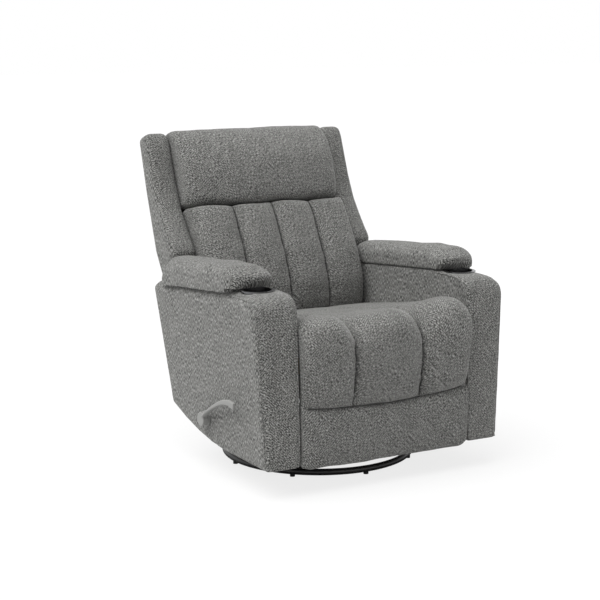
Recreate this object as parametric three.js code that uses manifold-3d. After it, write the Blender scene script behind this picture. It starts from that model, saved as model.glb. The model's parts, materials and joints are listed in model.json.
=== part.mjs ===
// A swivel glider recliner: a ring base with a swivel bearing, a glider with four hanging links, padded arms
// with cup holders, a channelled seat and reclining back, and a channelled footrest worked by a side lever.
// Millimetres. The floor is z = 0, the swivel axis is x = y = 0, and the chair faces -Y. Left (-X) and right
// (+X) are as seen from in front of it.
import * as THREE from "three";
import { mergeVertices } from "three/addons/utils/BufferGeometryUtils.js";
import Module from "manifold-3d";

const wasm = await Module();
wasm.setup();

// Driving dimensions: the whole chair
const innerWidth = 602; // clear width between the two arms
const armFootWidth = 113; // thickness of an arm at its foot
const armTopWidth = 141; // thickness of an arm where it is widest
const armFront = 422; // front face of the arms at the foot, forward of the swivel axis
const armFrontLean = 22; // how far that face leans back up to the arm's top
const armRear = 318; // rear top corner of the arms, behind the swivel axis
const armRearFoot = 223; // rear bottom corner of the arms
const skirtHeight = 90; // underside of the arms at the front
const armTopHeight = 606; // top of the arms at the cup holders
const armRearHeight = 564; // top of the arms at their rear
const backRake = 19; // lean of the back from the vertical, in degrees
const backFoot = 336; // rear plane of the back at the hinge's height, behind the swivel axis
const recliningHeight = 360; // height of the back's hinge
const recliningDepth = 210; // the back's hinge, behind the swivel axis
const gap = 0.3; // clearance between pieces that touch
const overrun = 5; // how far a cut runs past what it cuts

// Base ring, its feet and its cross
const footCount = 8;
const footRadius = 8;
const footHeight = 6;
const ringRadius = 301.5;
const ringTube = 10.5;
const crossWidth = 32;
const crossHeight = 14;
const hubRadius = 96;
const hubThickness = 4;

// Swivel bearing
const bearingRadius = 88;
const bearingPlate = 3;
const raceRadius = 70;
const raceBall = 3.5;
const raceLip = 5;
const raceWall = 3;
const pinRadius = 8;
const pinClearance = 0.4;
const pinHeadRadius = 14;
const pinHeadHeight = 4;

// Platform that turns on the bearing, and the stands that carry the glider links
const platformWidth = 150;
const platformPlate = 4;
const beamHeight = 24;
const beamWidth = 28;
const beamSpread = 160; // from beam to beam, centre to centre
const standOffset = 198; // inner face of a stand from the centre plane
const standPlate = 6;
const standFootDepth = 200;
const glideSpread = 190; // from the front links to the rear links
const glidePivotHigh = 163;
const glideLength = 88; // from a link's upper pivot to its lower one
const pivotRadius = 7;
const pivotPlay = 0.5;
const linkWidth = 24;
const linkPlate = 5;
const linkSpace = 2; // side clearance between a link and its neighbour
const bossRadius = 11;

// Carriage that hangs on the links and carries the arms
const railWidth = 22;
const railHeight = 26;
const railFront = 226;
const railRear = 190;
const tubeSide = 24;
const tubeFront = 200; // front cross tube, forward of the axis
const tubeRear = 165; // rear cross tube, behind it
const endPlate = 6;
const endPlateHeight = 104;
const endPlateDepth = 50;

// Side plates of the recliner mechanism, one on each arm
const sidePlate = 4;
const sidePlateFront = 330;
const sidePlateRear = 236;
const sidePlateTop = 384;
const sidePlateBottom = 262;
const sidePlateRise = 24; // how much lower the plate's front end is than its rear
const shelfWidth = 13;
const shelfPlate = 4;
const shelfFront = 150;
const shelfRear = 150;
const leverDepth = 35; // the drive tube, forward of the axis
const leverHeight = 171;
const driveRadius = 10;
const driveClearance = 1;
const driveTab = 34; // half width of the side plate's tab round the drive tube
const driveTabDrop = 26;

// Arms, their wooden frames and their pads
const armWaterfall = 60; // rounding of the arm's front top edge
const armShoulder = 48; // rounding of its outer top edge
const armEdge = 9; // rounding of its other edges
const armRearRound = 30;
const armFrontRound = 24;
const armFlareHeight = 530; // height where the arm reaches its full thickness
const armCrestRun = 190; // where the arm's top starts to fall to the rear, forward of the axis
const skirtFlatEnd = 147; // where the underside starts to rise, forward of the axis
const skirtRearHeight = 172;
const skirtBendRun = 40;
const skirtBendHeight = 96;
const armSkin = 24; // padding around the arm's inner hollow
const armLining = 18; // padding on the arm's inner face
const boardPlate = 18;
const padOverhang = 3; // how far the pad stands out past the arm on each side
const padRear = 290;
const padFront = 250;
const padSeamFront = 200; // where the pad's underside leaves the arm
const padThickness = 84;
const padSideRound = 42;
const padWrap = 20; // how far the pad's outer edge hangs over the arm's shoulder
const padNosePull = 22; // how much further back the corners of the nose lie than its middle

// Cup holders
const cupRadius = 52;
const cupWell = 42;
const cupWall = 2.5;
const cupRim = 3;
const cupDepth = 68;
const cupFront = 270; // centre of the cup, forward of the axis
const cupOffset = 363; // centre of the cup from the centre plane

// Rear cover under the back
const rearCover = 12;
const rearCoverTop = 278;
const rearCoverBottom = 178;

// Seat
const seatFrameWidth = 552;
const seatFrameFront = 372;
const seatFrameRear = 150;
const seatFrameBottom = 362;
const seatFrameHeight = 50;
const seatFrameWall = 24;
const seatSideGap = 4;
const seatRear = 155;
const seatFront = 456;
const seatCrown = 556; // height of the seat's front channels
const seatRearHeight = 478;
const seatEdgeDrop = 26;
const rollBottom = 432; // underside of the seat's front roll
const rollRound = 66;
const seatSeam = 119; // the seams' distance from the centre plane
const seatChannelDepth = 42;
const seatSideRound = 30;
const springWire = 4;
const springCount = 5;
const springPitch = 26;
const springSwing = 34;
const springSpread = 104;
const seatRailFlange = 4;
const seatRailWidth = 46;
const seatRailWeb = 270; // outer face of the rail's web from the centre plane
const seatRailDrop = 57;

// Footrest: its hinge lies in front of the seat's roll, where its four-bar linkage has its pole
const poleFront = 467.5;
const poleHeight = 532.5;
const swingPivotFront = 300; // pivot of the swing links on the seat rails
const swingPivotHeight = 333;
const bracketPivotFront = 372; // pivot of the carrying links on the footrest's brackets
const bracketPivotHeight = 345;
const footBoard = 15;
const footBoardFront = 400;
const footBoardWidth = 540;
const footBoardTop = 415;
const footBoardBottom = 105;
const footPadTop = 428;
const footPadBottom = 80;
const footPadFront = 456;
const footPadFoot = 430; // front of the plain lower part
const footCrease = 267; // height of the seam between the channels and the plain part
const footCreaseDepth = 16;
const footChannelDepth = 24;
const barWidth = 24;
const barPlate = 4;
const barSpace = 2;
const bracketPlate = 4;
const bracketLow = 200;

// Back
const backPanel = 14;
const backFrameDepth = 36;
const backFrameWidth = 586;
const backFrameWall = 46;
const backFrameTop = 640; // along the rake, above the hinge's level
const backPanelDrop = 30;
const backCushionWidth = 570;
const backCushionFoot = 20;
const backCushionTop = 398;
const backSeam = 146;
const backThickness = 172; // from the frame's front to the cushion's crown
const backChannelDepth = 26;
const backSideRound = 40;
const headWidth = 572;
const headTop = 684;
const headThickness = 110;
const headSideRound = 46;
const wingInner = 293.3; // inner face of a wing from the centre plane
const wingOuter = 378;
const wingTop = 678;
const wingReach = 153; // how far a wing stands forward of its rear plane
const wingRound = 22;
const hingePlate = 5;
const hingeOffset = 286;
const hingeBoss = 18;
const hingeFlange = 40;
const hingeFlangePlate = 4;
const hingeFlangeLow = 20;
const hingeFlangeHigh = 112;

// Lever
const escutcheonRadius = 26;
const escutcheonPlate = 3;
const leverHub = 22;
const leverHubLength = 18;
const leverReach = 254; // from the drive tube to the grip's tip, forward
const leverRise = 101; // height of the grip's crest over the drive tube
const leverWidth = 22;
const leverPlate = 9;
const leverFlare = 14; // how far the grip bends out from the arm

// Numbers of steps that round shapes are built with
const roundSides = 12;
const ringSides = 8;
const ringSteps = 48;
const filletSteps = 4;

// Finishes
const fabric = new THREE.MeshStandardMaterial({ color: 0x797a76, roughness: 0.95, metalness: 0 });
const backing = new THREE.MeshStandardMaterial({ color: 0x6c6d6a, roughness: 0.95, metalness: 0 });
const blackSteel = new THREE.MeshStandardMaterial({ color: 0x1b1b1c, roughness: 0.5, metalness: 0.7 });
const zincSteel = new THREE.MeshStandardMaterial({ color: 0x8d9092, roughness: 0.4, metalness: 0.9 });
const timber = new THREE.MeshStandardMaterial({ color: 0xb99a6b, roughness: 0.8, metalness: 0 });
const rubber = new THREE.MeshStandardMaterial({ color: 0x161616, roughness: 0.9, metalness: 0 });
const greyPlastic = new THREE.MeshStandardMaterial({ color: 0x9c9c99, roughness: 0.45, metalness: 0 });
const cupSteel = new THREE.MeshStandardMaterial({ color: 0x6e7072, roughness: 0.3, metalness: 0.9 });

// Places that several pieces share
const armInner = innerWidth / 2;
const glidePivotLow = glidePivotHigh - glideLength;
const ringMiddle = footHeight + ringTube;
const crossBottom = ringMiddle - crossHeight / 2;
const hubTop = crossBottom + crossHeight + hubThickness;
const bearingBottom = hubTop + gap;
const ballMiddle = bearingBottom + bearingPlate + gap + raceBall;
const upperBottom = ballMiddle + raceBall + gap;
const platformBottom = upperBottom + bearingPlate + gap;
const beamBottom = platformBottom + platformPlate;
const standOuter = standOffset + standPlate;
const linkInner = standOuter + linkSpace;
const railInner = linkInner + linkPlate + linkSpace;
const railBottom = glidePivotLow - railHeight / 2;
const tubeBottom = railBottom + railHeight + gap;
const plateInner = armInner - gap - sidePlate;
const swingInner = seatRailWeb + barSpace;
const carryInner = swingInner + barPlate + barSpace;
const backFrameFront = backPanel + gap + backFrameDepth;
const seatTopOfFrame = seatFrameBottom + seatFrameHeight;

const degrees = (angle) => (angle * Math.PI) / 180;

// A closed geometry as a solid, and a solid as a geometry
function solidOf(geometry) {
  const plain = geometry.index ? geometry.toNonIndexed() : geometry.clone();
  plain.deleteAttribute("normal");
  plain.deleteAttribute("uv");
  const merged = mergeVertices(plain, 1e-4);
  return new wasm.Manifold(
    new wasm.Mesh({
      numProp: 3,
      vertProperties: merged.getAttribute("position").array,
      triVerts: new Uint32Array(merged.index.array),
    }),
  );
}

function geometryOf(solid) {
  const mesh = solid.getMesh();
  const geometry = new THREE.BufferGeometry();
  geometry.setAttribute("position", new THREE.BufferAttribute(mesh.vertProperties, 3));
  geometry.setIndex(new THREE.BufferAttribute(mesh.triVerts, 1));
  return geometry;
}

const join = (...shapes) => geometryOf(shapes.map(solidOf).reduce((a, b) => a.add(b)));

const cut = (shape, ...tools) =>
  geometryOf(tools.map(solidOf).reduce((a, b) => a.subtract(b), solidOf(shape)));

// A box between two corners
function block(x0, x1, y0, y1, z0, z1) {
  const shape = new THREE.BoxGeometry(x1 - x0, y1 - y0, z1 - z0);
  return shape.translate((x0 + x1) / 2, (y0 + y1) / 2, (z0 + z1) / 2);
}

// A round bar along X between two values, about a line at (y, z)
function barX(radius, x0, x1, y, z, sides = roundSides) {
  const shape = new THREE.CylinderGeometry(radius, radius, x1 - x0, sides);
  return shape.rotateZ(Math.PI / 2).translate((x0 + x1) / 2, y, z);
}

// An upright round bar between two heights
function barZ(radius, z0, z1, x = 0, y = 0, sides = roundSides) {
  const shape = new THREE.CylinderGeometry(radius, radius, z1 - z0, sides);
  return shape.rotateX(Math.PI / 2).translate(x, y, (z0 + z1) / 2);
}

// Corners [p, q, radius] as a closed outline whose corners are rounded by arcs
function rounded(corners, steps = filletSteps) {
  const outline = [];
  corners.forEach(([p, q, radius = 0], i) => {
    const here = new THREE.Vector2(p, q);
    const before = new THREE.Vector2(...corners[(i + corners.length - 1) % corners.length]);
    const after = new THREE.Vector2(...corners[(i + 1) % corners.length]);
    const a = before.clone().sub(here);
    const b = after.clone().sub(here);
    const angle = Math.acos(a.dot(b) / (a.length() * b.length()));
    const run = Math.min(radius / Math.tan(angle / 2), a.length() / 2, b.length() / 2);
    if (!run) {
      outline.push(here);
      return;
    }
    const start = here.clone().add(a.setLength(run));
    const end = here.clone().add(b.setLength(run));
    const arc = new THREE.QuadraticBezierCurve(start, here, end);
    outline.push(...arc.getPoints(steps));
  });
  return anticlockwise(outline);
}

const anticlockwise = (outline) => (THREE.ShapeUtils.area(outline) < 0 ? outline.reverse() : outline);

// A plate whose outline lies in the plane of Y and Z, between two values of X
function plateX(outline, x0, x1) {
  const shape = new THREE.ExtrudeGeometry(new THREE.Shape(outline), {
    depth: x1 - x0,
    bevelEnabled: false,
  });
  return shape.rotateX(Math.PI / 2).rotateZ(Math.PI / 2).translate(x0, 0, 0);
}

// The outward normals of a closed outline that runs anticlockwise
function normalsOf(outline) {
  const count = outline.length;
  return outline.map((point, i) => {
    const along = outline[(i + 1) % count].clone().sub(outline[(i + count - 1) % count]);
    return new THREE.Vector2(along.y, -along.x).normalize();
  });
}

// A solid through sections at rising X, each the same outline with its points moved: place(point, i, x) gives
// the point of a section, and the two end sections are filled flat
function loftX(outline, stations, place) {
  const count = outline.length;
  const positions = [];
  const faces = [];
  stations.forEach((x) => {
    outline.forEach((point, i) => {
      const moved = place(point, i, x);
      positions.push(moved.x, moved.y, moved.z);
    });
  });
  for (let k = 0; k + 1 < stations.length; k += 1) {
    for (let i = 0; i < count; i += 1) {
      const j = (i + 1) % count;
      const a = k * count + i;
      const b = k * count + j;
      const c = (k + 1) * count + j;
      const d = (k + 1) * count + i;
      faces.push(a, b, c, a, c, d);
    }
  }
  const last = (stations.length - 1) * count;
  THREE.ShapeUtils.triangulateShape(outline, []).forEach(([a, b, c]) => {
    faces.push(a, c, b, last + a, last + b, last + c);
  });
  const geometry = new THREE.BufferGeometry();
  geometry.setAttribute("position", new THREE.Float32BufferAttribute(positions, 3));
  geometry.setIndex(faces);
  return geometry;
}

// How far a rounded edge of the given radius draws in, at a distance from the end face
function drawnIn(distance, radius) {
  if (distance >= radius) return 0;
  const rest = radius - distance;
  return radius - Math.sqrt(Math.max(radius * radius - rest * rest, 0));
}

// Stations from the low end to the high end that are closer together near both rounded ends
const endShares = [0, 0.1, 0.42, 1];
function roundedStations(low, high, lowRound, highRound, between = []) {
  return [
    ...endShares.map((share) => low + share * lowRound),
    ...between,
    ...endShares.map((share) => high - share * highRound).reverse(),
  ];
}

// Stations across a row of channels, closer together beside each seam
const channelShares = [-0.86, -0.5, 0, 0.5, 0.86];
function channelStations(seams, end, endRound) {
  const edges = [-end, ...seams, end];
  const stations = endShares.slice(0, 3).map((share) => -end + share * endRound);
  for (let k = 0; k + 1 < edges.length; k += 1) {
    const middle = (edges[k] + edges[k + 1]) / 2;
    const half = (edges[k + 1] - edges[k]) / 2;
    const inside = channelShares.map((share) => middle + share * half);
    stations.push(...inside.filter((x) => Math.abs(x) < end - endRound * endShares[2]));
    if (k + 2 < edges.length) stations.push(edges[k + 1]);
  }
  stations.push(...endShares.slice(0, 3).map((share) => end - share * endRound).reverse());
  return stations;
}

// The hollow at x of a row of channels: 0 on a channel's crown and 1 in a seam
function hollow(x, seams, end) {
  const edges = [-end, ...seams, end];
  const k = Math.min(edges.findIndex((edge) => x < edge) - 1, edges.length - 2);
  if (k < 0) return 1;
  const middle = (edges[k] + edges[k + 1]) / 2;
  const half = (edges[k + 1] - edges[k]) / 2;
  const across = Math.abs(x - middle) / half;
  const crownShare = 0.62;
  return 1 - (1 - across ** 3) ** crownShare;
}

const root = new THREE.Group();

// A named mesh in a group; a mirrored one is the same shape on the left side
function add(group, name, geometry, material, mirrored = false) {
  const mesh = new THREE.Mesh(geometry, material);
  mesh.name = name;
  if (mirrored) mesh.scale.x = -1;
  group.add(mesh);
  return mesh;
}

function addPair(group, name, geometry, material) {
  add(group, `${name}_right`, geometry, material);
  add(group, `${name}_left`, geometry, material, true);
}

// Base ring on its feet
const base = new THREE.Group();
root.add(base);
const ringShape = (tube) =>
  new THREE.TorusGeometry(ringRadius, tube, ringSides, ringSteps).translate(0, 0, ringMiddle);
const ringSpace = ringShape(ringTube + gap);
for (let k = 0; k < footCount; k += 1) {
  const angle = (k * 2 * Math.PI) / footCount;
  const foot = barZ(footRadius, 0, ringMiddle, Math.sin(angle) * ringRadius, -Math.cos(angle) * ringRadius);
  add(base, `foot_glide_${k + 1}`, cut(foot, ringSpace), rubber);
}
add(base, "base_ring", ringShape(ringTube), blackSteel);

// Cross that stiffens the ring and carries the bearing, with a bore for the swivel pin
const pinBottom = crossBottom;
const crossTop = crossBottom + crossHeight;
const crossHalf = crossWidth / 2;
const crossBars = [1, -1].map((turn) =>
  block(-ringRadius, ringRadius, -crossHalf, crossHalf, crossBottom, crossTop).rotateZ((turn * Math.PI) / 4),
);
const hubDisc = barZ(hubRadius, crossTop - gap, hubTop, 0, 0, ringSteps / 2);
const bore = barZ(pinRadius + pinClearance, crossBottom - overrun, platformBottom + platformPlate + overrun);
const crossShape = cut(join(...crossBars, hubDisc), ringSpace, bore);
const crossPieces = solidOf(crossShape).decompose();
const crossBody = crossPieces.reduce((a, b) => (a.volume() > b.volume() ? a : b));
add(base, "base_cross", geometryOf(crossBody), blackSteel);

// Swivel bearing: two pressed plates with a ring of balls between their lips, and the pin through both
function bearingRing(bottom, lipUp) {
  const low = lipUp ? 0 : -raceLip;
  const high = lipUp ? bearingPlate + raceLip : bearingPlate;
  const inner = raceRadius - raceBall - gap;
  const outer = raceRadius + raceBall + gap;
  const lip = lipUp ? inner - raceWall : outer;
  const profile = [
    [pinRadius + pinClearance, 0],
    [bearingRadius, 0],
    [bearingRadius, bearingPlate],
    [pinRadius + pinClearance, bearingPlate],
  ].map(([r, z]) => new THREE.Vector2(r, z));
  const plate = new THREE.LatheGeometry([...profile, profile[0].clone()], ringSteps / 2);
  const lipShape = [
    [lip, low],
    [lip + raceWall, low],
    [lip + raceWall, high],
    [lip, high],
  ].map(([r, z]) => new THREE.Vector2(r, z));
  const wall = new THREE.LatheGeometry([...lipShape, lipShape[0].clone()], ringSteps / 2);
  const shape = join(plate, wall);
  return shape.rotateX(Math.PI / 2).translate(0, 0, bottom);
}
add(base, "bearing_lower", bearingRing(bearingBottom, true), zincSteel);
const balls = new THREE.TorusGeometry(raceRadius, raceBall, ringSides, ringSteps / 2);
add(base, "bearing_balls", balls.translate(0, 0, ballMiddle), zincSteel);
const pinTop = beamBottom + gap + pinHeadHeight;
const swivelPin = join(
  barZ(pinRadius, pinBottom, pinTop),
  barZ(pinHeadRadius, beamBottom + gap, pinTop),
);
add(base, "swivel_pin", swivelPin, zincSteel);

// Platform that turns: a centre plate under two beams, welded to a stand at each side
const platform = new THREE.Group();
root.add(platform);
add(platform, "bearing_upper", bearingRing(upperBottom, false), zincSteel);
const beamHalf = standOffset - gap;
const platformHalf = platformWidth / 2;
const spreadHalf = beamSpread / 2;
const platformReach = spreadHalf + beamWidth / 2;
const platformShape = join(
  block(-platformHalf, platformHalf, -platformReach, platformReach, platformBottom, beamBottom),
  ...[-1, 1].map((side) =>
    block(
      -beamHalf,
      beamHalf,
      side * spreadHalf - beamWidth / 2,
      side * spreadHalf + beamWidth / 2,
      platformBottom,
      beamBottom + beamHeight,
    ),
  ),
);
add(platform, "platform_frame", cut(platformShape, bore), blackSteel);
const glideHalf = glideSpread / 2;
const standHalf = standFootDepth / 2;
const standOutline = rounded([
  [-standHalf, platformBottom],
  [standHalf, platformBottom],
  [glideHalf + bossRadius, glidePivotHigh, bossRadius],
  [glideHalf, glidePivotHigh + bossRadius, bossRadius],
  [glideHalf - 2 * bossRadius, glidePivotHigh, bossRadius],
  [0, beamBottom + beamHeight + bossRadius],
  [-glideHalf + 2 * bossRadius, glidePivotHigh, bossRadius],
  [-glideHalf, glidePivotHigh + bossRadius, bossRadius],
  [-glideHalf - bossRadius, glidePivotHigh, bossRadius],
]);
const standPins = [-1, 1].flatMap((side) => [
  barX(pivotRadius, standOffset, railInner, side * glideHalf, glidePivotHigh),
  barX(bossRadius, linkInner + linkPlate + pivotPlay, railInner, side * glideHalf, glidePivotHigh),
]);
const stand = join(plateX(standOutline, standOffset, standOuter), ...standPins);
addPair(platform, "glide_stand", stand, blackSteel);

// Four hanging links of the glider
function eyeBar(y0, z0, y1, z1, x0, x1, width, holes) {
  const along = new THREE.Vector2(y1 - y0, z1 - z0);
  const across = new THREE.Vector2(-along.y, along.x).setLength(width / 2);
  const corners = [
    [y0 + across.x, z0 + across.y],
    [y0 - across.x, z0 - across.y],
    [y1 - across.x, z1 - across.y],
    [y1 + across.x, z1 + across.y],
  ].map(([y, z]) => new THREE.Vector2(y, z));
  const shape = join(
    plateX(corners, x0, x1),
    barX(width / 2, x0, x1, y0, z0),
    barX(width / 2, x0, x1, y1, z1),
  );
  const hole = pivotRadius + pivotPlay;
  return cut(shape, ...holes.map(([y, z]) => barX(hole, x0 - overrun, x1 + overrun, y, z)));
}
for (const [place, y] of [
  ["front", -glideHalf],
  ["rear", glideHalf],
]) {
  const ends = [
    [y, glidePivotHigh],
    [y, glidePivotLow],
  ];
  const link = eyeBar(...ends[0], ...ends[1], linkInner, linkInner + linkPlate, linkWidth, ends);
  addPair(platform, `glide_link_${place}`, link, zincSteel);
}

// Carriage: two rails on the links' lower pivots, and two cross tubes with end plates against the arms
const carriage = new THREE.Group();
root.add(carriage);
const railPins = [-1, 1].map((side) =>
  barX(pivotRadius, standOuter + gap, railInner + railWidth / 2, side * glideHalf, glidePivotLow),
);
const railOuter = railInner + railWidth;
const rail = block(railInner, railOuter, -railFront, railRear, railBottom, railBottom + railHeight);
addPair(carriage, "glide_rail", join(rail, ...railPins), blackSteel);
const tubeEnd = armInner - gap;
function crossTube(y) {
  const half = tubeSide / 2;
  const tube = block(-tubeEnd, tubeEnd, y - half, y + half, tubeBottom, tubeBottom + tubeSide);
  const plates = [-1, 1].map((side) =>
    block(
      Math.min(side * tubeEnd, side * (tubeEnd - endPlate)),
      Math.max(side * tubeEnd, side * (tubeEnd - endPlate)),
      y - endPlateDepth / 2,
      y + endPlateDepth / 2,
      tubeBottom,
      tubeBottom + endPlateHeight,
    ),
  );
  return join(tube, ...plates);
}
add(carriage, "cross_tube_front", crossTube(-tubeFront), blackSteel);
add(carriage, "cross_tube_rear", crossTube(tubeRear), blackSteel);

// Side plates: each holds a shelf that the seat rides on, the back's hinge pin and the drive tube's bearing
const plateOutline = [
  [-sidePlateFront, sidePlateTop - sidePlateRise],
  [-shelfFront, sidePlateTop],
  [sidePlateRear, sidePlateTop],
  [sidePlateRear, recliningHeight - 2 * hingeBoss],
  [shelfRear, sidePlateBottom],
  [-leverDepth + driveTab, sidePlateBottom],
  [-leverDepth + driveTab, leverHeight - driveTabDrop],
  [-leverDepth - driveTab, leverHeight - driveTabDrop],
  [-leverDepth - driveTab, sidePlateBottom],
  [-sidePlateFront, sidePlateBottom + sidePlateRise],
].map(([y, z]) => new THREE.Vector2(y, z));
const shelfTop = seatFrameBottom - seatRailFlange - 2 * gap;
const shelfInner = plateInner - shelfWidth;
const shelf = block(shelfInner, plateInner + gap, -shelfFront, shelfRear, shelfTop - shelfPlate, shelfTop);
const hingePin = barX(pivotRadius, hingeOffset - barSpace, plateInner + gap, recliningDepth, recliningHeight);
const driveBore = (x0, x1) => barX(driveRadius + driveClearance, x0, x1, -leverDepth, leverHeight);
const driveHole = driveBore(plateInner - overrun, armInner + overrun);
const plateShape = cut(join(plateX(plateOutline, plateInner, armInner - gap), shelf, hingePin), driveHole);
addPair(carriage, "side_plate", plateShape, zincSteel);

// Arms: a padded shell over a wooden board, open underneath, thicker at the top than at the foot
const skirtCurve = new THREE.QuadraticBezierCurve(
  new THREE.Vector2(armRearFoot - armEdge, skirtRearHeight - armEdge / 2),
  new THREE.Vector2(skirtBendRun, skirtBendHeight),
  new THREE.Vector2(-skirtFlatEnd, skirtHeight),
);
const rearSlope = (armRear - armRearFoot) / (armRearHeight - skirtRearHeight);
const frontSlope = armFrontLean / (armTopHeight - skirtHeight);
function armOutline(inset, footInset) {
  const skirt = skirtCurve.getPoints(filletSteps).map((p) => [
    Math.min(p.x, armRearFoot - inset - armEdge),
    p.y + footInset,
  ]);
  return rounded([
    [-armFront + inset + footInset * frontSlope, skirtHeight + footInset, armEdge],
    [-armFront + armFrontLean + inset, armTopHeight - inset, armWaterfall],
    [-armCrestRun, armTopHeight - inset],
    [armRear - inset, armRearHeight - inset, armRearRound],
    [armRearFoot - inset + footInset * rearSlope, skirtRearHeight + footInset, armEdge],
    ...skirt,
  ]);
}
const armShape = armOutline(0, 0);
const armNormals = normalsOf(armShape);
function armThickness(z) {
  const share = THREE.MathUtils.clamp((z - skirtHeight) / (armFlareHeight - skirtHeight), 0, 1);
  return armFootWidth + (armTopWidth - armFootWidth) * share;
}
// The rounding of the arm's outer edge at a point: full on top, less at the front, least below and behind
function outerRound(normal) {
  if (normal.y > 0) return THREE.MathUtils.lerp(armFrontRound, armShoulder, normal.y);
  return THREE.MathUtils.lerp(armFrontRound, armEdge, -normal.y);
}
const armStations = roundedStations(0, armTopWidth, armEdge, armShoulder);
function armSolid(growth) {
  return loftX(armShape, armStations, (point, i, across) => {
    const normal = armNormals[i];
    const outer = drawnIn(armTopWidth - across, outerRound(normal));
    const inset = Math.max(drawnIn(across, armEdge), outer) - growth;
    const y = point.x - normal.x * inset;
    const z = point.y - normal.y * inset;
    const spread = growth * ((2 * across) / armTopWidth - 1);
    return new THREE.Vector3(armInner + (across / armTopWidth) * armThickness(z) + spread, y, z);
  });
}
const armShell = armSolid(0);
const armGrown = armSolid(gap);
const hollowFoot = skirtHeight + overrun;
const hollowOuter = armInner + armFootWidth - armSkin;
const armHollow = plateX(armOutline(armSkin, -hollowFoot), armInner + armLining, hollowOuter);
const cupSpace = (radius, bottom) =>
  barZ(radius + gap, bottom - gap, armTopHeight + overrun, cupOffset, -cupFront, ringSteps / 2);
const cupCut = cupSpace(cupWell + cupWall, armTopHeight - cupDepth - cupWall);
const armBody = cut(armShell, armHollow, cupCut, cupSpace(cupRadius, armTopHeight));
const leverBore = driveBore(armInner - overrun, armInner + armTopWidth + overrun);
add(carriage, "arm_right", armBody, fabric);
add(carriage, "arm_left", cut(armBody, leverBore), fabric, true);

// Wooden board inside each arm
const board = plateX(
  armOutline(armSkin + gap, gap * 2),
  armInner + armLining + gap,
  armInner + armLining + gap + boardPlate,
);
const boardRight = cut(board, cupCut);
add(carriage, "arm_board_right", boardRight, timber);
add(carriage, "arm_board_left", cut(boardRight, leverBore), timber, true);

// Cup holders with a flat rim on the arm
const cupProfile = [
  [0, -cupDepth - cupWall],
  [cupWell + cupWall, -cupDepth - cupWall],
  [cupWell + cupWall, 0],
  [cupRadius, 0],
  [cupRadius, cupRim],
  [cupWell, cupRim],
  [cupWell, -cupDepth],
  [0, -cupDepth],
].map(([r, z]) => new THREE.Vector2(r, z));
const cup = new THREE.LatheGeometry(cupProfile, ringSteps / 2).rotateX(Math.PI / 2);
for (const [side, sign] of [
  ["right", 1],
  ["left", -1],
]) {
  const mesh = add(carriage, `cup_holder_${side}`, cup, cupSteel);
  mesh.position.set(sign * cupOffset, -cupFront, armTopHeight);
}

// Pillow pads on the arms, each hung over the arm's outer shoulder and cut to it, with a blunt nose
const armFall = (armTopHeight - armRearHeight) / (armRear + armCrestRun);
const padBase = (y) => armTopHeight - Math.max(y + armCrestRun, 0) * armFall;
const padShares = [
  [padRear, 0, 0.2],
  [padRear, 0.62, 0.4],
  [padRear - padThickness / 3, 0.86, 0.8],
  [0, 0.88, 4],
  [-padSeamFront / 2, 1, 1.4],
  [-padFront + padThickness / 4, 0.97, 0.5],
  [-padFront, 0.6, 0.35],
  [-padFront + padThickness / 6, 0.22, 0.3],
  [-padSeamFront, 0, 0.2],
];
const padOutline = rounded(
  padShares.map(([y, rise, round]) => [y, padBase(y) + rise * padThickness, round * padThickness]),
  3,
);
const padLow = armInner - padOverhang;
const padHigh = armInner + armTopWidth + padOverhang;
const padHalf = (padHigh - padLow) / 2;
const padStations = roundedStations(padLow, padHigh, padSideRound, padSideRound);
const pillow = loftX(padOutline, padStations, (point, i, x) => {
  const bottom = padBase(point.x);
  const rise = (point.y - bottom) / padThickness;
  const side = drawnIn(Math.min(x - padLow, padHigh - x), padSideRound);
  const wrap = padWrap * THREE.MathUtils.smoothstep(x, padHigh - armShoulder, padHigh);
  const corner = Math.abs((x - padLow) / padHalf - 1) ** 3;
  const nose = THREE.MathUtils.smoothstep(-point.x, 0, padFront);
  const push = (-padNosePull / 2) * THREE.MathUtils.smoothstep(point.x, 0, padRear);
  const z = bottom + rise * (padThickness - side) - Math.max(1 - rise, 0) * wrap;
  return new THREE.Vector3(x, point.x + corner * (padNosePull * nose + push), z);
});
addPair(carriage, "arm_pad", cut(pillow, armGrown), fabric);

// Rear cover between the arms, on the line of their rear edges
const rearLine = (z) => armRearFoot + (z - skirtRearHeight) * rearSlope;
const coverOutline = [
  [rearLine(rearCoverBottom), rearCoverBottom],
  [rearLine(rearCoverTop), rearCoverTop],
  [rearLine(rearCoverTop) - rearCover, rearCoverTop],
  [rearLine(rearCoverBottom) - rearCover, rearCoverBottom],
].map(([y, z]) => new THREE.Vector2(y, z));
const coverHalf = armInner - gap;
add(carriage, "rear_cover", plateX(coverOutline, -coverHalf, coverHalf), backing);

// Drive tube across the chair and the lever on its left end, outside the arm
const drive = new THREE.Group();
root.add(drive);
const armFace = armInner + armThickness(leverHeight + escutcheonRadius);
const escutcheonInner = armFace + gap;
const leverStart = escutcheonInner + escutcheonPlate + gap;
const tubeOut = leverStart + leverHubLength / 2;
const driveTube = barX(driveRadius, -tubeOut, armInner - gap, -leverDepth, leverHeight);
add(drive, "drive_tube", driveTube, blackSteel);
const escutcheonHole = barX(driveRadius + driveClearance, -overrun, escutcheonPlate * 2, 0, 0);
const escutcheon = cut(barX(escutcheonRadius, 0, escutcheonPlate, 0, 0, ringSteps / 2), escutcheonHole);
const escutcheonMesh = add(carriage, "lever_escutcheon", escutcheon, greyPlastic, true);
escutcheonMesh.position.set(-escutcheonInner, -leverDepth, leverHeight);

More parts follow.
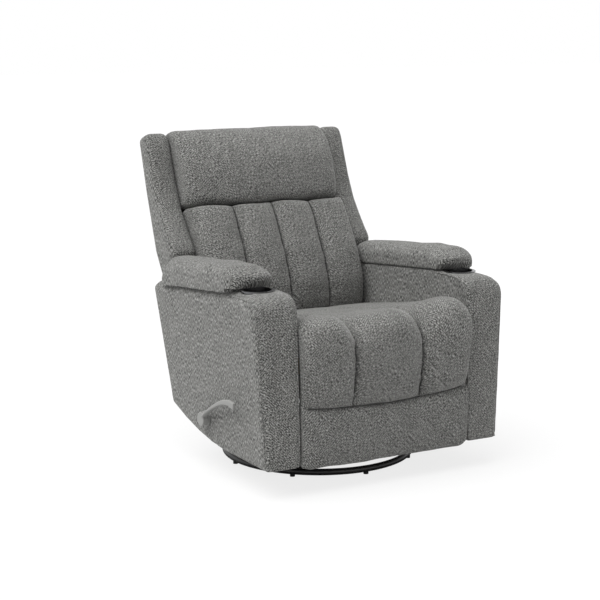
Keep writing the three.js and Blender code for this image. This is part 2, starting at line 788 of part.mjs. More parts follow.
// The lever: a hub on the tube and a curved handle that arches forward to a broad tip
const gripShares = [
  [0.06, 0.12, 1],
  [0.18, 0.33, 1],
  [0.37, 0.58, 1.2],
  [0.54, 0.78, 1.4],
  [0.7, 0.93, 1.6],
  [0.86, 1, 2],
  [1, 0.95, 2.6],
];
const gripSpine = gripShares.map(([run, rise]) => new THREE.Vector2(-run * leverReach, rise * leverRise));
const gripNormals = gripSpine.map((p, i) => {
  const a = gripSpine[Math.max(i - 1, 0)];
  const b = gripSpine[Math.min(i + 1, gripSpine.length - 1)];
  return new THREE.Vector2(-(b.y - a.y), b.x - a.x).normalize();
});
const gripHalves = gripShares.map(([, , thickness]) => (thickness * leverPlate) / 2);
const gripSide = (side) =>
  gripSpine.map((p, i) => p.clone().addScaledVector(gripNormals[i], side * gripHalves[i]));
const gripOutline = anticlockwise([...gripSide(1), ...gripSide(-1).reverse()]);
const gripStations = [0, leverWidth * 0.2, leverWidth * 0.8, leverWidth];
const gripNormalsOut = normalsOf(gripOutline);
const grip = loftX(gripOutline, gripStations, (point, i, across) => {
  const forward = THREE.MathUtils.clamp(-point.x / leverReach, 0, 1);
  const edge = Math.min(across, leverWidth - across) === 0 ? leverPlate / 4 : 0;
  const inner = point.clone().addScaledVector(gripNormalsOut[i], -edge);
  return new THREE.Vector3(across + leverFlare * forward, inner.x, inner.y);
});
const hub = barX(leverHub, 0, leverHubLength, 0, 0, ringSteps / 2);
const hubBore = barX(driveRadius + gap, -overrun, leverHubLength / 2 + gap, 0, 0);
const leverShape = cut(join(hub, grip), hubBore);
const lever = add(drive, "lever", leverShape, greyPlastic, true);
lever.position.set(-leverStart, -leverDepth, leverHeight);

// Seat frame: a wooden box with zigzag springs across it
const seat = new THREE.Group();
root.add(seat);
const frameHalf = seatFrameWidth / 2;
const frameOuter = block(
  -frameHalf,
  frameHalf,
  -seatFrameFront,
  seatFrameRear,
  seatFrameBottom,
  seatTopOfFrame,
);
const frameInner = block(
  -frameHalf + seatFrameWall,
  frameHalf - seatFrameWall,
  -seatFrameFront + seatFrameWall,
  seatFrameRear - seatFrameWall,
  seatFrameBottom - overrun,
  seatTopOfFrame + overrun,
);
const springSeat = springWire + gap;
const springLedge = block(
  -frameHalf + seatFrameWall * 2,
  frameHalf - seatFrameWall * 2,
  -seatFrameFront + seatFrameWall / 2,
  seatFrameRear - seatFrameWall / 2,
  seatTopOfFrame - springSeat,
  seatTopOfFrame + overrun,
);
add(seat, "seat_frame", cut(frameOuter, frameInner, springLedge), timber);
const springFront = -seatFrameFront + seatFrameWall / 2 + gap;
const springRear = seatFrameRear - seatFrameWall / 2 - gap;
function zigzag(x) {
  const bends = Math.floor((springRear - springFront) / springPitch);
  const pitch = (springRear - springFront) / bends;
  const line = [];
  for (let k = 0; k <= bends; k += 1) {
    const swing = k === 0 || k === bends ? 0 : ((k % 2) * 2 - 1) * (springSwing / 2);
    line.push(new THREE.Vector2(x + swing, springFront + k * pitch));
  }
  const half = springWire / 2;
  const left = line.map((p) => new THREE.Vector2(p.x - half * 2, p.y));
  const right = line.map((p) => new THREE.Vector2(p.x + half * 2, p.y)).reverse();
  const shape = new THREE.ExtrudeGeometry(new THREE.Shape([...left, ...right]), {
    depth: springWire,
    bevelEnabled: false,
  });
  return shape.translate(0, 0, seatTopOfFrame - springWire);
}
const springMiddle = (springCount - 1) / 2;
const springs = Array.from({ length: springCount }, (_, k) => zigzag((k - springMiddle) * springSpread));
const tieShares = [1 / 3, 2 / 3];
const ties = tieShares.map((share) => {
  const y = springFront + share * (springRear - springFront);
  const reach = springMiddle * springSpread + springSwing / 2;
  const half = springWire / 2;
  return block(-reach, reach, y - half, y + half, seatTopOfFrame - springWire, seatTopOfFrame);
});
add(seat, "seat_springs", join(...springs, ...ties), zincSteel);

// Seat rails under the frame: a flange that slides on the shelf, and a web with the swing links' pivot
const flangeInner = seatRailWeb - seatRailWidth / 2;
const flangeTop = seatFrameBottom - gap;
const flangeBottom = flangeTop - seatRailFlange;
const flangeRear = shelfRear - barWidth;
const seatRail = join(
  block(flangeInner, seatRailWeb, -seatFrameFront, seatFrameRear, flangeBottom, flangeTop),
  block(flangeInner, plateInner - gap, -shelfFront, flangeRear, flangeBottom, flangeTop),
  plateX(
    rounded([
      [-swingPivotFront - 2 * barWidth, flangeTop - gap],
      [-swingPivotFront - barWidth / 2, flangeTop - seatRailDrop, barWidth / 2],
      [-swingPivotFront + barWidth, flangeTop - seatRailDrop, barWidth / 2],
      [shelfRear - 2 * barWidth, flangeTop - gap],
    ]),
    seatRailWeb - bracketPlate,
    seatRailWeb,
  ),
  barX(
    pivotRadius,
    seatRailWeb - bracketPlate,
    swingInner + barPlate + barSpace / 2,
    -swingPivotFront,
    swingPivotHeight,
  ),
);
addPair(seat, "seat_rail", seatRail, zincSteel);

// Seat cushion: flat underneath, a soft top that rises forward, and three channels that roll over the front
const cushionHalf = armInner - seatSideGap;
const seatBottom = seatTopOfFrame + gap;
const seatRun = seatRear + seatFront;
const seatTopShares = [
  [0.3, 0.52],
  [0.58, 0.86],
];
const seatRiseHeight = seatCrown - seatRearHeight;
const seatOutline = rounded([
  [seatRear, seatBottom],
  [seatRear, seatRearHeight, seatSideRound],
  ...seatTopShares.map(([run, rise]) => [
    seatRear - run * seatRun,
    seatRearHeight + rise * seatRiseHeight,
    seatSideRound * 4,
  ]),
  [-seatFront + rollRound / 2, seatCrown, rollRound],
  [-seatFront, (seatCrown + rollBottom) / 2, rollRound / 2],
  [-seatFront + rollRound / 8, rollBottom, rollRound / 6],
  [-seatFrameFront - 2 * gap, rollBottom],
  [-seatFrameFront - 2 * gap, seatBottom],
]);
const seatNormals = normalsOf(seatOutline);
const seatSeams = [-seatSeam, seatSeam];
const seatStations = channelStations(seatSeams, cushionHalf, seatSideRound);
const seatCushion = loftX(seatOutline, seatStations, (point, i, x) => {
  const normal = seatNormals[i];
  const frontal = point.x < -seatFrameFront - 3 * gap;
  const soft = frontal || normal.y > 0.2 ? 1 : 0;
  const forward = THREE.MathUtils.smoothstep(-point.x, 0, seatFront * 0.7);
  const depth = (normal.y > 0.5 ? seatChannelDepth : seatChannelDepth * 0.62) * forward;
  const sides = seatEdgeDrop * (1 - forward) * (Math.abs(x) / cushionHalf) ** 4;
  const ends = drawnIn(cushionHalf - Math.abs(x), seatSideRound) * 0.5;
  const inset = soft * Math.max(depth * hollow(x, seatSeams, cushionHalf), sides, ends);
  const back = normal.y < 0 ? -inset : normal.x * inset;
  return new THREE.Vector3(x, point.x - back, Math.max(point.y - Math.max(normal.y, 0) * inset, seatBottom));
});
add(seat, "seat_cushion", seatCushion, fabric);

// Footrest: a board with a channelled pad in front of it, which swings about the pole
const footrest = new THREE.Group();
root.add(footrest);
const boardHalf = footBoardWidth / 2;
const boardRear = -footBoardFront + footBoard;
const boardShape = block(-boardHalf, boardHalf, -footBoardFront, boardRear, footBoardBottom, footBoardTop);
add(footrest, "footrest_board", boardShape, timber);
const footBack = footBoardFront + gap;
const footOutline = rounded([
  [-footBack, footPadBottom, armEdge],
  [-footBack, footPadTop],
  [-footPadFront + armEdge, footPadTop, armEdge],
  [-footPadFront, (footPadTop + footCrease) / 2, rollRound],
  [-footPadFoot - footCreaseDepth / 2, footCrease + footCreaseDepth, footCreaseDepth / 2],
  [-footPadFoot + footCreaseDepth / 2, footCrease],
  [-footPadFoot, footCrease - footCreaseDepth, footCreaseDepth],
  [-footPadFoot + footCreaseDepth / 4, footPadBottom, armEdge],
]);
const footNormals = normalsOf(footOutline);
const footPad = loftX(footOutline, seatStations, (point, i, x) => {
  const normal = footNormals[i];
  const isFront = point.x < -footBack - gap;
  const back = Math.abs(normal.y) > 0.3 ? -1 : normal.x;
  const upper = THREE.MathUtils.smoothstep(point.y, footCrease, footCrease + 2 * footCreaseDepth);
  const ends = drawnIn(cushionHalf - Math.abs(x), seatSideRound) * 0.4;
  const channels = upper * footChannelDepth * hollow(x, seatSeams, cushionHalf);
  const inset = isFront ? Math.max(channels, ends) : 0;
  return new THREE.Vector3(x, Math.min(point.x - back * inset, -footBack), point.y);
});
add(footrest, "footrest_pad", footPad, fabric);

// Brackets behind the board, each with the pin that the carrying link ends on
const bracketOuter = carryInner - barSpace;
const bracketOutline = rounded([
  [boardRear + gap, bracketLow],
  [boardRear + gap, bracketPivotHeight + barWidth / 2],
  [-bracketPivotFront + barWidth / 2, bracketPivotHeight + barWidth / 2, barWidth / 2],
  [-bracketPivotFront + barWidth / 2, bracketPivotHeight - barWidth, barWidth / 2],
]);
const bracketShape = join(
  plateX(bracketOutline, bracketOuter - bracketPlate, bracketOuter),
  block(
    boardHalf - barWidth * 2,
    bracketOuter,
    boardRear + gap,
    boardRear + gap + bracketPlate,
    bracketLow,
    bracketPivotHeight,
  ),
  barX(
    pivotRadius,
    bracketOuter - bracketPlate,
    carryInner + barPlate + barSpace / 2,
    -bracketPivotFront,
    bracketPivotHeight,
  ),
);
addPair(footrest, "footrest_bracket", bracketShape, zincSteel);

// Footrest links: the swing link stays parallel to the line from the pole to the bracket's pivot, and the
// carrying link stays parallel to the line from the swing link's pivot to the pole
const apexFront = swingPivotFront + bracketPivotFront - poleFront;
const apexHeight = swingPivotHeight + bracketPivotHeight - poleHeight;
const swingEnd = [-swingPivotFront, swingPivotHeight];
const apexEnd = [-apexFront, apexHeight];
const swingLink = join(
  eyeBar(...swingEnd, ...apexEnd, swingInner, swingInner + barPlate, barWidth, [swingEnd]),
  barX(pivotRadius, swingInner, carryInner + barPlate + barSpace / 2, -apexFront, apexHeight),
);
addPair(seat, "swing_link", swingLink, zincSteel);
const carryEnd = [-bracketPivotFront, bracketPivotHeight];
const carryHoles = [apexEnd, carryEnd];
const carryLink = eyeBar(...apexEnd, ...carryEnd, carryInner, carryInner + barPlate, barWidth, carryHoles);
addPair(seat, "carry_link", carryLink, zincSteel);

// Back: a group leaned by the rake, whose Y runs rearward and whose Z runs up along the back. Its outlines
// are written as [run forward from the rear plane, run up the rake]
const back = new THREE.Group();
back.position.set(0, backFoot, recliningHeight);
back.rotation.x = -degrees(backRake);
root.add(back);
const forward = (corners) => corners.map(([n, s, radius]) => [-n, s, radius]);
const outerHalf = backFrameWidth / 2;
const panelHalf = outerHalf;
const panelShape = block(-panelHalf, panelHalf, -backPanel, 0, -backPanelDrop, backFrameTop);
add(back, "back_panel", panelShape, backing);

// Wooden back frame with a recess for the hinge flanges
const backFrameRear = backPanel + gap;
const backFrameShape = block(-outerHalf, outerHalf, -backFrameFront, -backFrameRear, 0, backFrameTop);
const backWindow = block(
  -outerHalf + backFrameWall,
  outerHalf - backFrameWall,
  -backFrameFront - overrun,
  -backFrameRear + overrun,
  backFrameWall * 3,
  backFrameTop - backFrameWall,
);
const flangeDepth = hingeFlangePlate + gap;
const recesses = [-1, 1].map((side) => {
  const inside = side * (hingeOffset + hingePlate - hingeFlange - gap);
  const outside = side * (outerHalf + overrun);
  return block(
    Math.min(inside, outside),
    Math.max(inside, outside),
    -backFrameFront - overrun,
    -backFrameFront + flangeDepth,
    hingeFlangeLow - gap,
    hingeFlangeHigh + gap,
  );
});
add(back, "back_frame", cut(backFrameShape, backWindow, ...recesses), timber);

// Hinge brackets, from the frame down and forward to the hinge pins
const turnedHinge = new THREE.Vector3(0, recliningDepth - backFoot, 0).applyAxisAngle(
  new THREE.Vector3(1, 0, 0),
  degrees(backRake),
);
const hingeRun = -turnedHinge.y;
const hingeRise = turnedHinge.z;
const bracketPlateShape = plateX(
  rounded(
    forward([
      [backFrameFront - hingeFlangePlate, hingeFlangeLow],
      [backFrameFront - hingeFlangePlate, hingeFlangeHigh],
      [backFrameFront + hingeBoss / 2, hingeFlangeHigh],
      [hingeRun + hingeBoss, hingeRise + hingeBoss, hingeBoss],
      [hingeRun + hingeBoss, hingeRise - hingeBoss, hingeBoss],
      [hingeRun - hingeBoss, hingeRise - hingeBoss, hingeBoss],
      [backFrameFront + gap, hingeFlangeLow],
    ]),
  ),
  hingeOffset,
  hingeOffset + hingePlate,
);
const flangePlate = block(
  hingeOffset + hingePlate - hingeFlange,
  hingeOffset + hingePlate,
  -backFrameFront,
  -backFrameFront + hingeFlangePlate,
  hingeFlangeLow,
  hingeFlangeHigh,
);
const hingeHole = barX(
  pivotRadius + pivotPlay,
  hingeOffset - overrun,
  hingeOffset + hingePlate + overrun,
  -hingeRun,
  hingeRise,
);
addPair(back, "back_bracket", cut(join(bracketPlateShape, flangePlate), hingeHole), zincSteel);

// Back cushion with four upright channels
const backRearFace = backFrameFront + gap;
const backCushionHalf = backCushionWidth / 2;
const backFaceShares = [
  [0.9, 0.04],
  [1, 0.34],
  [0.94, 0.66],
  [0.76, 1],
];
const backRun = backCushionTop - backCushionFoot;
const backOutline = rounded(
  forward([
    [backRearFace, backCushionFoot],
    ...backFaceShares.map(([thick, up], i) => [
      backRearFace + thick * backThickness,
      backCushionFoot + up * backRun,
      i === 0 || i === 3 ? backSideRound : backSideRound * 3,
    ]),
    [backRearFace, backCushionTop],
  ]),
);
const backNormals = normalsOf(backOutline);
const backSeams = [-backSeam, 0, backSeam];
const backStations = channelStations(backSeams, backCushionHalf, backSideRound);
const backCushion = loftX(backOutline, backStations, (point, i, x) => {
  const normal = backNormals[i];
  const isFront = normal.x < -0.2 ? 1 : 0;
  const ends = drawnIn(backCushionHalf - Math.abs(x), backSideRound) * 0.9;
  const channels = backChannelDepth * hollow(x, backSeams, backCushionHalf);
  const inset = isFront * Math.max(channels, ends);
  const y = Math.min(point.x - normal.x * inset, -backRearFace);
  return new THREE.Vector3(x, y, point.y - normal.y * inset * 0.2);
});
add(back, "back_cushion", backCushion, fabric);

// Headrest pillow, rolled over the top of the frame
const headHalf = headWidth / 2;
const headFoot = backCushionTop + gap * 2;
const headRoll = backFrameTop + gap;
const headOutline = rounded(
  forward([
    [backRearFace, headFoot],
    [backRearFace + headThickness * 0.86, headFoot, headSideRound],
    [backRearFace + headThickness, headFoot + (headTop - headFoot) * 0.4, headSideRound * 3],
    [backRearFace + headThickness * 0.74, headTop - headSideRound * 0.9, headSideRound],
    [backRearFace + headThickness * 0.24, headTop + headSideRound * 0.1, headSideRound],
    [gap, headTop - headSideRound * 0.3, headSideRound * 0.7],
    [gap, headRoll],
    [backRearFace, headRoll],
  ]),
);
const headNormals = normalsOf(headOutline);
const headMiddles = [-headHalf / 2, 0, headHalf / 2];
const headStations = roundedStations(-headHalf, headHalf, headSideRound, headSideRound, headMiddles);
const headrest = loftX(headOutline, headStations, (point, i, x) => {
  const normal = headNormals[i];
  const rolled = point.y > headRoll + gap;
  const outside = point.x < -backRearFace - gap || rolled ? 1 : 0;
  const crown = headSideRound * 0.3 * (Math.abs(x) / headHalf) ** 2;
  const inset = outside * Math.max(drawnIn(headHalf - Math.abs(x), headSideRound) * 0.7, crown);
  const moved = point.clone().addScaledVector(normal, -inset);
  const y = rolled ? moved.x : Math.min(moved.x, -backRearFace);
  return new THREE.Vector3(x, y, Math.max(moved.y, rolled ? headRoll : headFoot));
});
add(back, "headrest", headrest, fabric);

// Wings beside the back: narrow above, and spread forward above the arm pads
const wingFrontShares = [
  [1, 0.37, 2],
  [0.85, 0.44, 2],
  [0.71, 0.525, 2],
  [0.59, 0.61, 2],
  [0.52, 0.74, 4],
  [0.49, 0.945, 1],
  [0.43, 1, 1],
];
const wingOutline = rounded(
  forward([
    [-4, wingTop, wingRound],
    [-10, wingTop * 0.72, wingRound * 4],
    [-6, wingTop * 0.42, wingRound * 2],
    [18, 196, wingRound],
    [48, 184, wingRound],
    [92, 197, wingRound / 2],
    ...wingFrontShares.map(([run, up, round]) => [run * wingReach, up * wingTop, round * wingRound]),
  ]),
  2,
);
const wingNormals = normalsOf(wingOutline);
const wingStations = roundedStations(wingInner, wingOuter, wingRound, wingRound);
const wing = loftX(wingOutline, wingStations, (point, i, x) => {
  const inset = drawnIn(Math.min(x - wingInner, wingOuter - x), wingRound);
  return new THREE.Vector3(x, point.x - wingNormals[i].x * inset, point.y - wingNormals[i].y * inset);
});
addPair(back, "wing", wing, fabric);

export default root;
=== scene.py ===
import json
import math

import bpy
import numpy as np
from mathutils import Matrix, Vector, noise

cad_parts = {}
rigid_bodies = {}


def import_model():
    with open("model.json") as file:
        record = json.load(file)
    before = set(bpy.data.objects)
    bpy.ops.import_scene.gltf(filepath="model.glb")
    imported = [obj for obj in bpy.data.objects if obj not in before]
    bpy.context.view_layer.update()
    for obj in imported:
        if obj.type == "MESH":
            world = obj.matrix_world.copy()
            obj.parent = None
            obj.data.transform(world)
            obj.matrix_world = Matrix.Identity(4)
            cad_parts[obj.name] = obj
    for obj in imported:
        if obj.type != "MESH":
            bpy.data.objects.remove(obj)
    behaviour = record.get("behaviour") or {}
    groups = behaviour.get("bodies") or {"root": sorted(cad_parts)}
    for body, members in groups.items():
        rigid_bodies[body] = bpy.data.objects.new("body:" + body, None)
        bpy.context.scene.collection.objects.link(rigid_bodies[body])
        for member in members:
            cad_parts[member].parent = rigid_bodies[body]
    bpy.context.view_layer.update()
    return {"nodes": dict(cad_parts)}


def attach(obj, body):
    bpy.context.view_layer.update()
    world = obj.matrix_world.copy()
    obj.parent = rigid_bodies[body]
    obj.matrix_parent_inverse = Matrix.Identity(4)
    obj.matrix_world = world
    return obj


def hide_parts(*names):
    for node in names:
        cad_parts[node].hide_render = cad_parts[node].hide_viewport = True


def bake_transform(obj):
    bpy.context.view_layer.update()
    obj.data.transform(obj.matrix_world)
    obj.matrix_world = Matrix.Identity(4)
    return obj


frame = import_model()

nodes = frame["nodes"]

# Base ring, cross and feet
# A round steel tube ring, welded to a flat cross with a hub plate, all in black powder coat.
# Eight short rubber feet are fixed under the tube, each hollowed at its top to fit round it.


def only(*pieces):
    """Deselects everything, then selects these pieces, the first one active."""
    bpy.ops.object.select_all(action="DESELECT")
    for piece in pieces:
        piece.select_set(True)
    bpy.context.view_layer.objects.active = pieces[0]


def settle(piece):
    """Puts the piece's place, turn and scale into its mesh."""
    only(piece)
    bpy.ops.object.transform_apply(location=True, rotation=True, scale=True)


def dress(piece, body, material, slot, *stands_for):
    """Gives a new piece its material, and says what it rides on and which CAD nodes it stands for."""
    piece.data.materials.clear()
    piece.data.materials.append(material)
    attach(piece, body)
    if stands_for:
        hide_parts(*stands_for)


def paint(material, *names):
    """Puts the material in the slots of CAD nodes that stay as they are."""
    for name in names:
        for slot in nodes[name].material_slots:
            slot.material = material


def feed(tree, node, values):
    """Links each input that is given a socket, and sets each other one to its value."""
    for key, value in values.items():
        if isinstance(value, bpy.types.NodeSocket):
            tree.links.new(value, node.inputs[key])
        else:
            node.inputs[key].default_value = value
    return node


def add(tree, kind, values=(), **settings):
    """A node with these settings and inputs."""
    node = tree.nodes.new("ShaderNode" + kind)
    for key, value in settings.items():
        setattr(node, key, value)
    return feed(tree, node, dict(values))


def maths(tree, operation, a, b=0.0, c=0.0):
    """What a Math node gives for these two or three numbers."""
    return add(tree, "Math", {0: a, 1: b, 2: c}, operation=operation).outputs[0]


def spots(tree, place, scale, detail, **more):
    """Soft random spots, from 0 to 1."""
    return add(tree, "TexNoise", {"Vector": place, "Scale": scale, "Detail": detail, **more}).outputs[0]


def bump(tree, height, depth, strength=1.0):
    """The normal of a surface that rises by this depth where the height is 1."""
    return add(tree, "Bump", {"Strength": strength, "Distance": depth, "Height": height}).outputs[0]


def group(name, inputs, outputs):
    """A new node group with its sockets: (name, kind, default) in, (name, kind) out."""
    tree = bpy.data.node_groups.new(name, "ShaderNodeTree")
    for label, kind, value in inputs:
        socket = tree.interface.new_socket(name=label, in_out="INPUT", socket_type="NodeSocket" + kind)
        if value is not None:
            socket.default_value = value
    for label, kind in outputs:
        tree.interface.new_socket(name=label, in_out="OUTPUT", socket_type="NodeSocket" + kind)
    return tree, tree.nodes.new("NodeGroupInput").outputs, tree.nodes.new("NodeGroupOutput").inputs


def put_group(tree, group_tree, **values):
    """Places a node group in a material, and gives back what it puts out."""
    node = tree.nodes.new("ShaderNodeGroup")
    node.node_tree = group_tree
    return feed(tree, node, {key.replace("_", " "): value for key, value in values.items()}).outputs


def new_material(name, **plain):
    """A new material, its tree and its Principled shader, whose own sockets take the plain values."""
    material = bpy.data.materials.new(name)
    material.use_nodes = True
    tree = material.node_tree
    shader = tree.nodes["Principled BSDF"]
    feed(tree, shader, {key.replace("_", " "): value for key, value in plain.items()})
    return material, tree, shader


def lay_on(tree, shader, pattern, depth, strength=1.0):
    """Gives the shader a pattern's colour and roughness, and its height as a bump of this depth."""
    feed(tree, shader, {"Base Color": pattern["Color"], "Roughness": pattern["Roughness"],
                        "Normal": bump(tree, pattern["Height"], depth, strength)})


# handling marks that every hard finish has: fine orange peel or brushed grain, and soft smudges
SMUDGE_SCALE = 18.0
SMUDGE_ON_ROUGHNESS = 0.25
handled, given, result = group(
    "handled_finish",
    [("Position", "Vector", None), ("Color", "Color", (0.5, 0.5, 0.5, 1)), ("Grain", "Float", 900.0),
     ("Stretch", "Float", 1.0), ("Mottle", "Float", 0.12), ("Roughness", "Float", 0.4)],
    [("Color", "Color"), ("Roughness", "Float"), ("Height", "Float")])
squeezed = add(handled, "CombineXYZ", {0: given["Stretch"], 1: 1.0, 2: 1.0}).outputs[0]
brushed = add(handled, "VectorMath", {0: given["Position"], 1: squeezed}, operation="MULTIPLY").outputs[0]
grain = spots(handled, brushed, given["Grain"], 3.0)
smudge = spots(handled, given["Position"], SMUDGE_SCALE, 4.0, Roughness=0.6)
from_mean = maths(handled, "SUBTRACT", smudge, 0.5)
shade = maths(handled, "MULTIPLY_ADD", from_mean, given["Mottle"], 1.0)
shade = maths(handled, "MULTIPLY_ADD", maths(handled, "SUBTRACT", grain, 0.5), given["Mottle"], shade)
tone = add(handled, "VectorMath", {0: given["Color"], "Scale": shade}, operation="SCALE").outputs[0]
dulled = maths(handled, "MULTIPLY_ADD", from_mean, SMUDGE_ON_ROUGHNESS, given["Roughness"])
handled.links.new(tone, result["Color"])
handled.links.new(dulled, result["Roughness"])
handled.links.new(grain, result["Height"])


def hard_finish(name, colour, roughness, grain, depth, stretch=1.0, mottle=0.12, **plain):
    """A material for metal, paint, rubber or plastic: one colour, with the handling marks on it."""
    material, tree, shader = new_material(name, **plain)
    place = add(tree, "TexCoord").outputs["Object"]
    marks = put_group(tree, handled, Position=place, Color=(*colour, 1), Grain=grain, Stretch=stretch,
                      Mottle=mottle, Roughness=roughness)
    lay_on(tree, shader, marks, depth)
    return material


black_coat = hard_finish("black_powder_coat", colour=(0.012, 0.012, 0.013), roughness=0.42, grain=1400.0,
                         depth=0.00012, Coat_Weight=0.15, Coat_Roughness=0.35)
foot_rubber = hard_finish("foot_rubber", colour=(0.02, 0.02, 0.02), roughness=0.75, grain=900.0,
                          depth=0.0002)

RING_RADIUS = 0.3015
TUBE_RADIUS = 0.0105
RING_HEIGHT = 0.0165
FEET = 8
only(nodes["base_ring"])
bpy.ops.mesh.primitive_torus_add(align="WORLD", location=(0, 0, RING_HEIGHT), major_radius=RING_RADIUS,
                                 minor_radius=TUBE_RADIUS, major_segments=192, minor_segments=24)
ring = bpy.context.object
ring.name = "base_ring_tube"
settle(ring)
bpy.ops.object.shade_smooth()
dress(ring, "base", black_coat, "black_steel", "base_ring")
paint(black_coat, "base_cross")
paint(foot_rubber, *[f"foot_glide_{k + 1}" for k in range(FEET)])

# Swivel bearing, glider and mechanism
# Pressed and zinc-plated steel plates and links, with welded black frames and tubes that carry them.
# They stay as the CAD has them, and take the zinc and the black coat.
zinc = hard_finish("zinc_plate", colour=(0.52, 0.53, 0.54), roughness=0.34, grain=420.0, depth=0.00008,
                   stretch=0.15, mottle=0.22, Metallic=1.0)
paint(zinc, "bearing_lower", "bearing_balls", "bearing_upper", "swivel_pin", "seat_springs")
paint(black_coat, "platform_frame", "cross_tube_front", "cross_tube_rear", "drive_tube")
for side_name in ("left", "right"):
    for part in ("glide_link_front", "glide_link_rear", "side_plate", "seat_rail", "swing_link", "carry_link",
                 "footrest_bracket", "back_bracket"):
        paint(zinc, f"{part}_{side_name}")
    for part in ("glide_stand", "glide_rail"):
        paint(black_coat, f"{part}_{side_name}")

# Woodwork
# Arm boards, seat frame and footrest board, cut from pale plywood and pine, and screwed to the steel.
# They stay as the CAD has them, with the grain drawn out upright.


def ramp(tree, factor, *stops):
    """A colour that runs through these stops of (position, colour)."""
    node = add(tree, "ValToRGB", {0: factor})
    elements = node.color_ramp.elements
    while len(elements) < len(stops):
        elements.new(0.5)
    for k, (position, colour) in enumerate(stops):
        elements[k].position = position
        elements[k].color = (*colour, 1)
    return node.outputs[0]


DARK_WOOD = (0.36, 0.22, 0.11)
MIDDLE_WOOD = (0.56, 0.38, 0.2)
PALE_WOOD = (0.66, 0.48, 0.28)
UPRIGHT_GRAIN = (1.0, 1.0, 0.12)
timber, tree, shader = new_material("plain_timber", Roughness=0.7)
place = add(tree, "TexCoord").outputs["Object"]
place = add(tree, "Mapping", {"Vector": place, "Scale": UPRIGHT_GRAIN}).outputs[0]
rings = spots(tree, place, 60.0, 6.0, Distortion=0.6)
wood = ramp(tree, rings, (0.3, DARK_WOOD), (0.5, MIDDLE_WOOD), (0.7, PALE_WOOD))
feed(tree, shader, {"Base Color": wood, "Normal": bump(tree, rings, 0.0004)})
paint(timber, "arm_board_left", "arm_board_right", "seat_frame", "footrest_board")

# Cloth of the whole chair
# A mid-grey chenille in a small zigzag twill: dark and light yarn with fine hairs, with shade painted into
# the seams.
# On the sides of arms and wings the yarn stands upright, elsewhere it follows the front and the top.


def between(tree, factor, a, b):
    """The number a where the factor is 0, and b where it is 1."""
    return add(tree, "Mix", {0: factor, 2: a, 3: b}, data_type="FLOAT").outputs[0]


def spread(tree, value, low, high, to_low=0.0, to_high=1.0):
    """The value's run from low to high, drawn out from to_low to to_high."""
    return add(tree, "MapRange", {0: value, 1: low, 2: high, 3: to_low, 4: to_high}).outputs[0]


DARK_YARN = (0.028, 0.028, 0.026)
MIDDLE_YARN = (0.138, 0.138, 0.132)
LIGHT_YARN = (0.405, 0.405, 0.389)
SIDEWAYS = 0.72  # how far a face is turned to the side where it counts as a side
SLANT = 0.7071
RIB_PITCH = 0.0064
RIB_WEIGHT = 0.055
RIB_WANDER = 0.004
CLOUD_WEIGHT = 0.10
HAIR_WEIGHT = 0.3
chenille, given, result = group(
    "chenille_weave",
    [("Position", "Vector", None), ("Facing", "Vector", None), ("Tint", "Float", 1.0)],
    [("Color", "Color"), ("Height", "Float"), ("Roughness", "Float")])
x, y, z = add(chenille, "SeparateXYZ", {0: given["Position"]}).outputs
sideways = maths(chenille, "ABSOLUTE", add(chenille, "SeparateXYZ", {0: given["Facing"]}).outputs[0])
side = maths(chenille, "GREATER_THAN", sideways, SIDEWAYS)
across = between(chenille, side, x, y)
along = between(chenille, side, maths(chenille, "ADD", z, y), z)
wander = spots(chenille, given["Position"], 60.0, 1.0)


def strokes(across, along, close, short):
    """Strokes of lighter and darker yarn on the cloth, so many to the metre across and along."""
    place = add(chenille, "CombineXYZ", {0: maths(chenille, "MULTIPLY", across, close),
                                         1: maths(chenille, "MULTIPLY", along, short)}).outputs[0]
    return spots(chenille, place, 1.0, 1.0, Roughness=0.5)


def diagonal(across, along):
    """Strokes on a slant, with the ribs of the twill in them."""
    bent = maths(chenille, "MULTIPLY_ADD", wander, RIB_WANDER, across)
    rib = maths(chenille, "SINE", maths(chenille, "MULTIPLY", bent, 2 * math.pi / RIB_PITCH))
    return maths(chenille, "MULTIPLY_ADD", rib, RIB_WEIGHT, strokes(across, along, 470.0, 140.0))


# the twill leans one way in most places and the other way in patches
patches = spread(chenille, spots(chenille, given["Position"], 17.0, 2.0), 0.50, 0.58)
half_across = maths(chenille, "MULTIPLY", across, SLANT)
half_along = maths(chenille, "MULTIPLY", along, SLANT)
rising = maths(chenille, "ADD", half_across, half_along)
falling = maths(chenille, "SUBTRACT", half_across, half_along)
slanted = between(chenille, patches, diagonal(rising, falling), diagonal(falling, rising))
fleck = between(chenille, side, slanted, strokes(across, along, 460.0, 105.0))
cloud = maths(chenille, "SUBTRACT", spots(chenille, given["Position"], 22.0, 3.0), 0.5)
level = maths(chenille, "MULTIPLY_ADD", cloud, CLOUD_WEIGHT, fleck)
yarn = ramp(chenille, level, (0.35, DARK_YARN), (0.5, MIDDLE_YARN), (0.65, LIGHT_YARN))
# Tint darkens the yarn; the cloth uses it for the shade that is painted into the seams
yarn = add(chenille, "VectorMath", {0: yarn, "Scale": given["Tint"]}, operation="SCALE").outputs[0]
hair = maths(chenille, "MULTIPLY", spots(chenille, given["Position"], 900.0, 2.0), HAIR_WEIGHT)
chenille.links.new(yarn, result["Color"])
chenille.links.new(maths(chenille, "ADD", level, hair), result["Height"])
chenille.links.new(spread(chenille, fleck, 0.3, 0.7, 0.95, 0.8), result["Roughness"])

PAINTED_SEAM_SHADE = -0.75


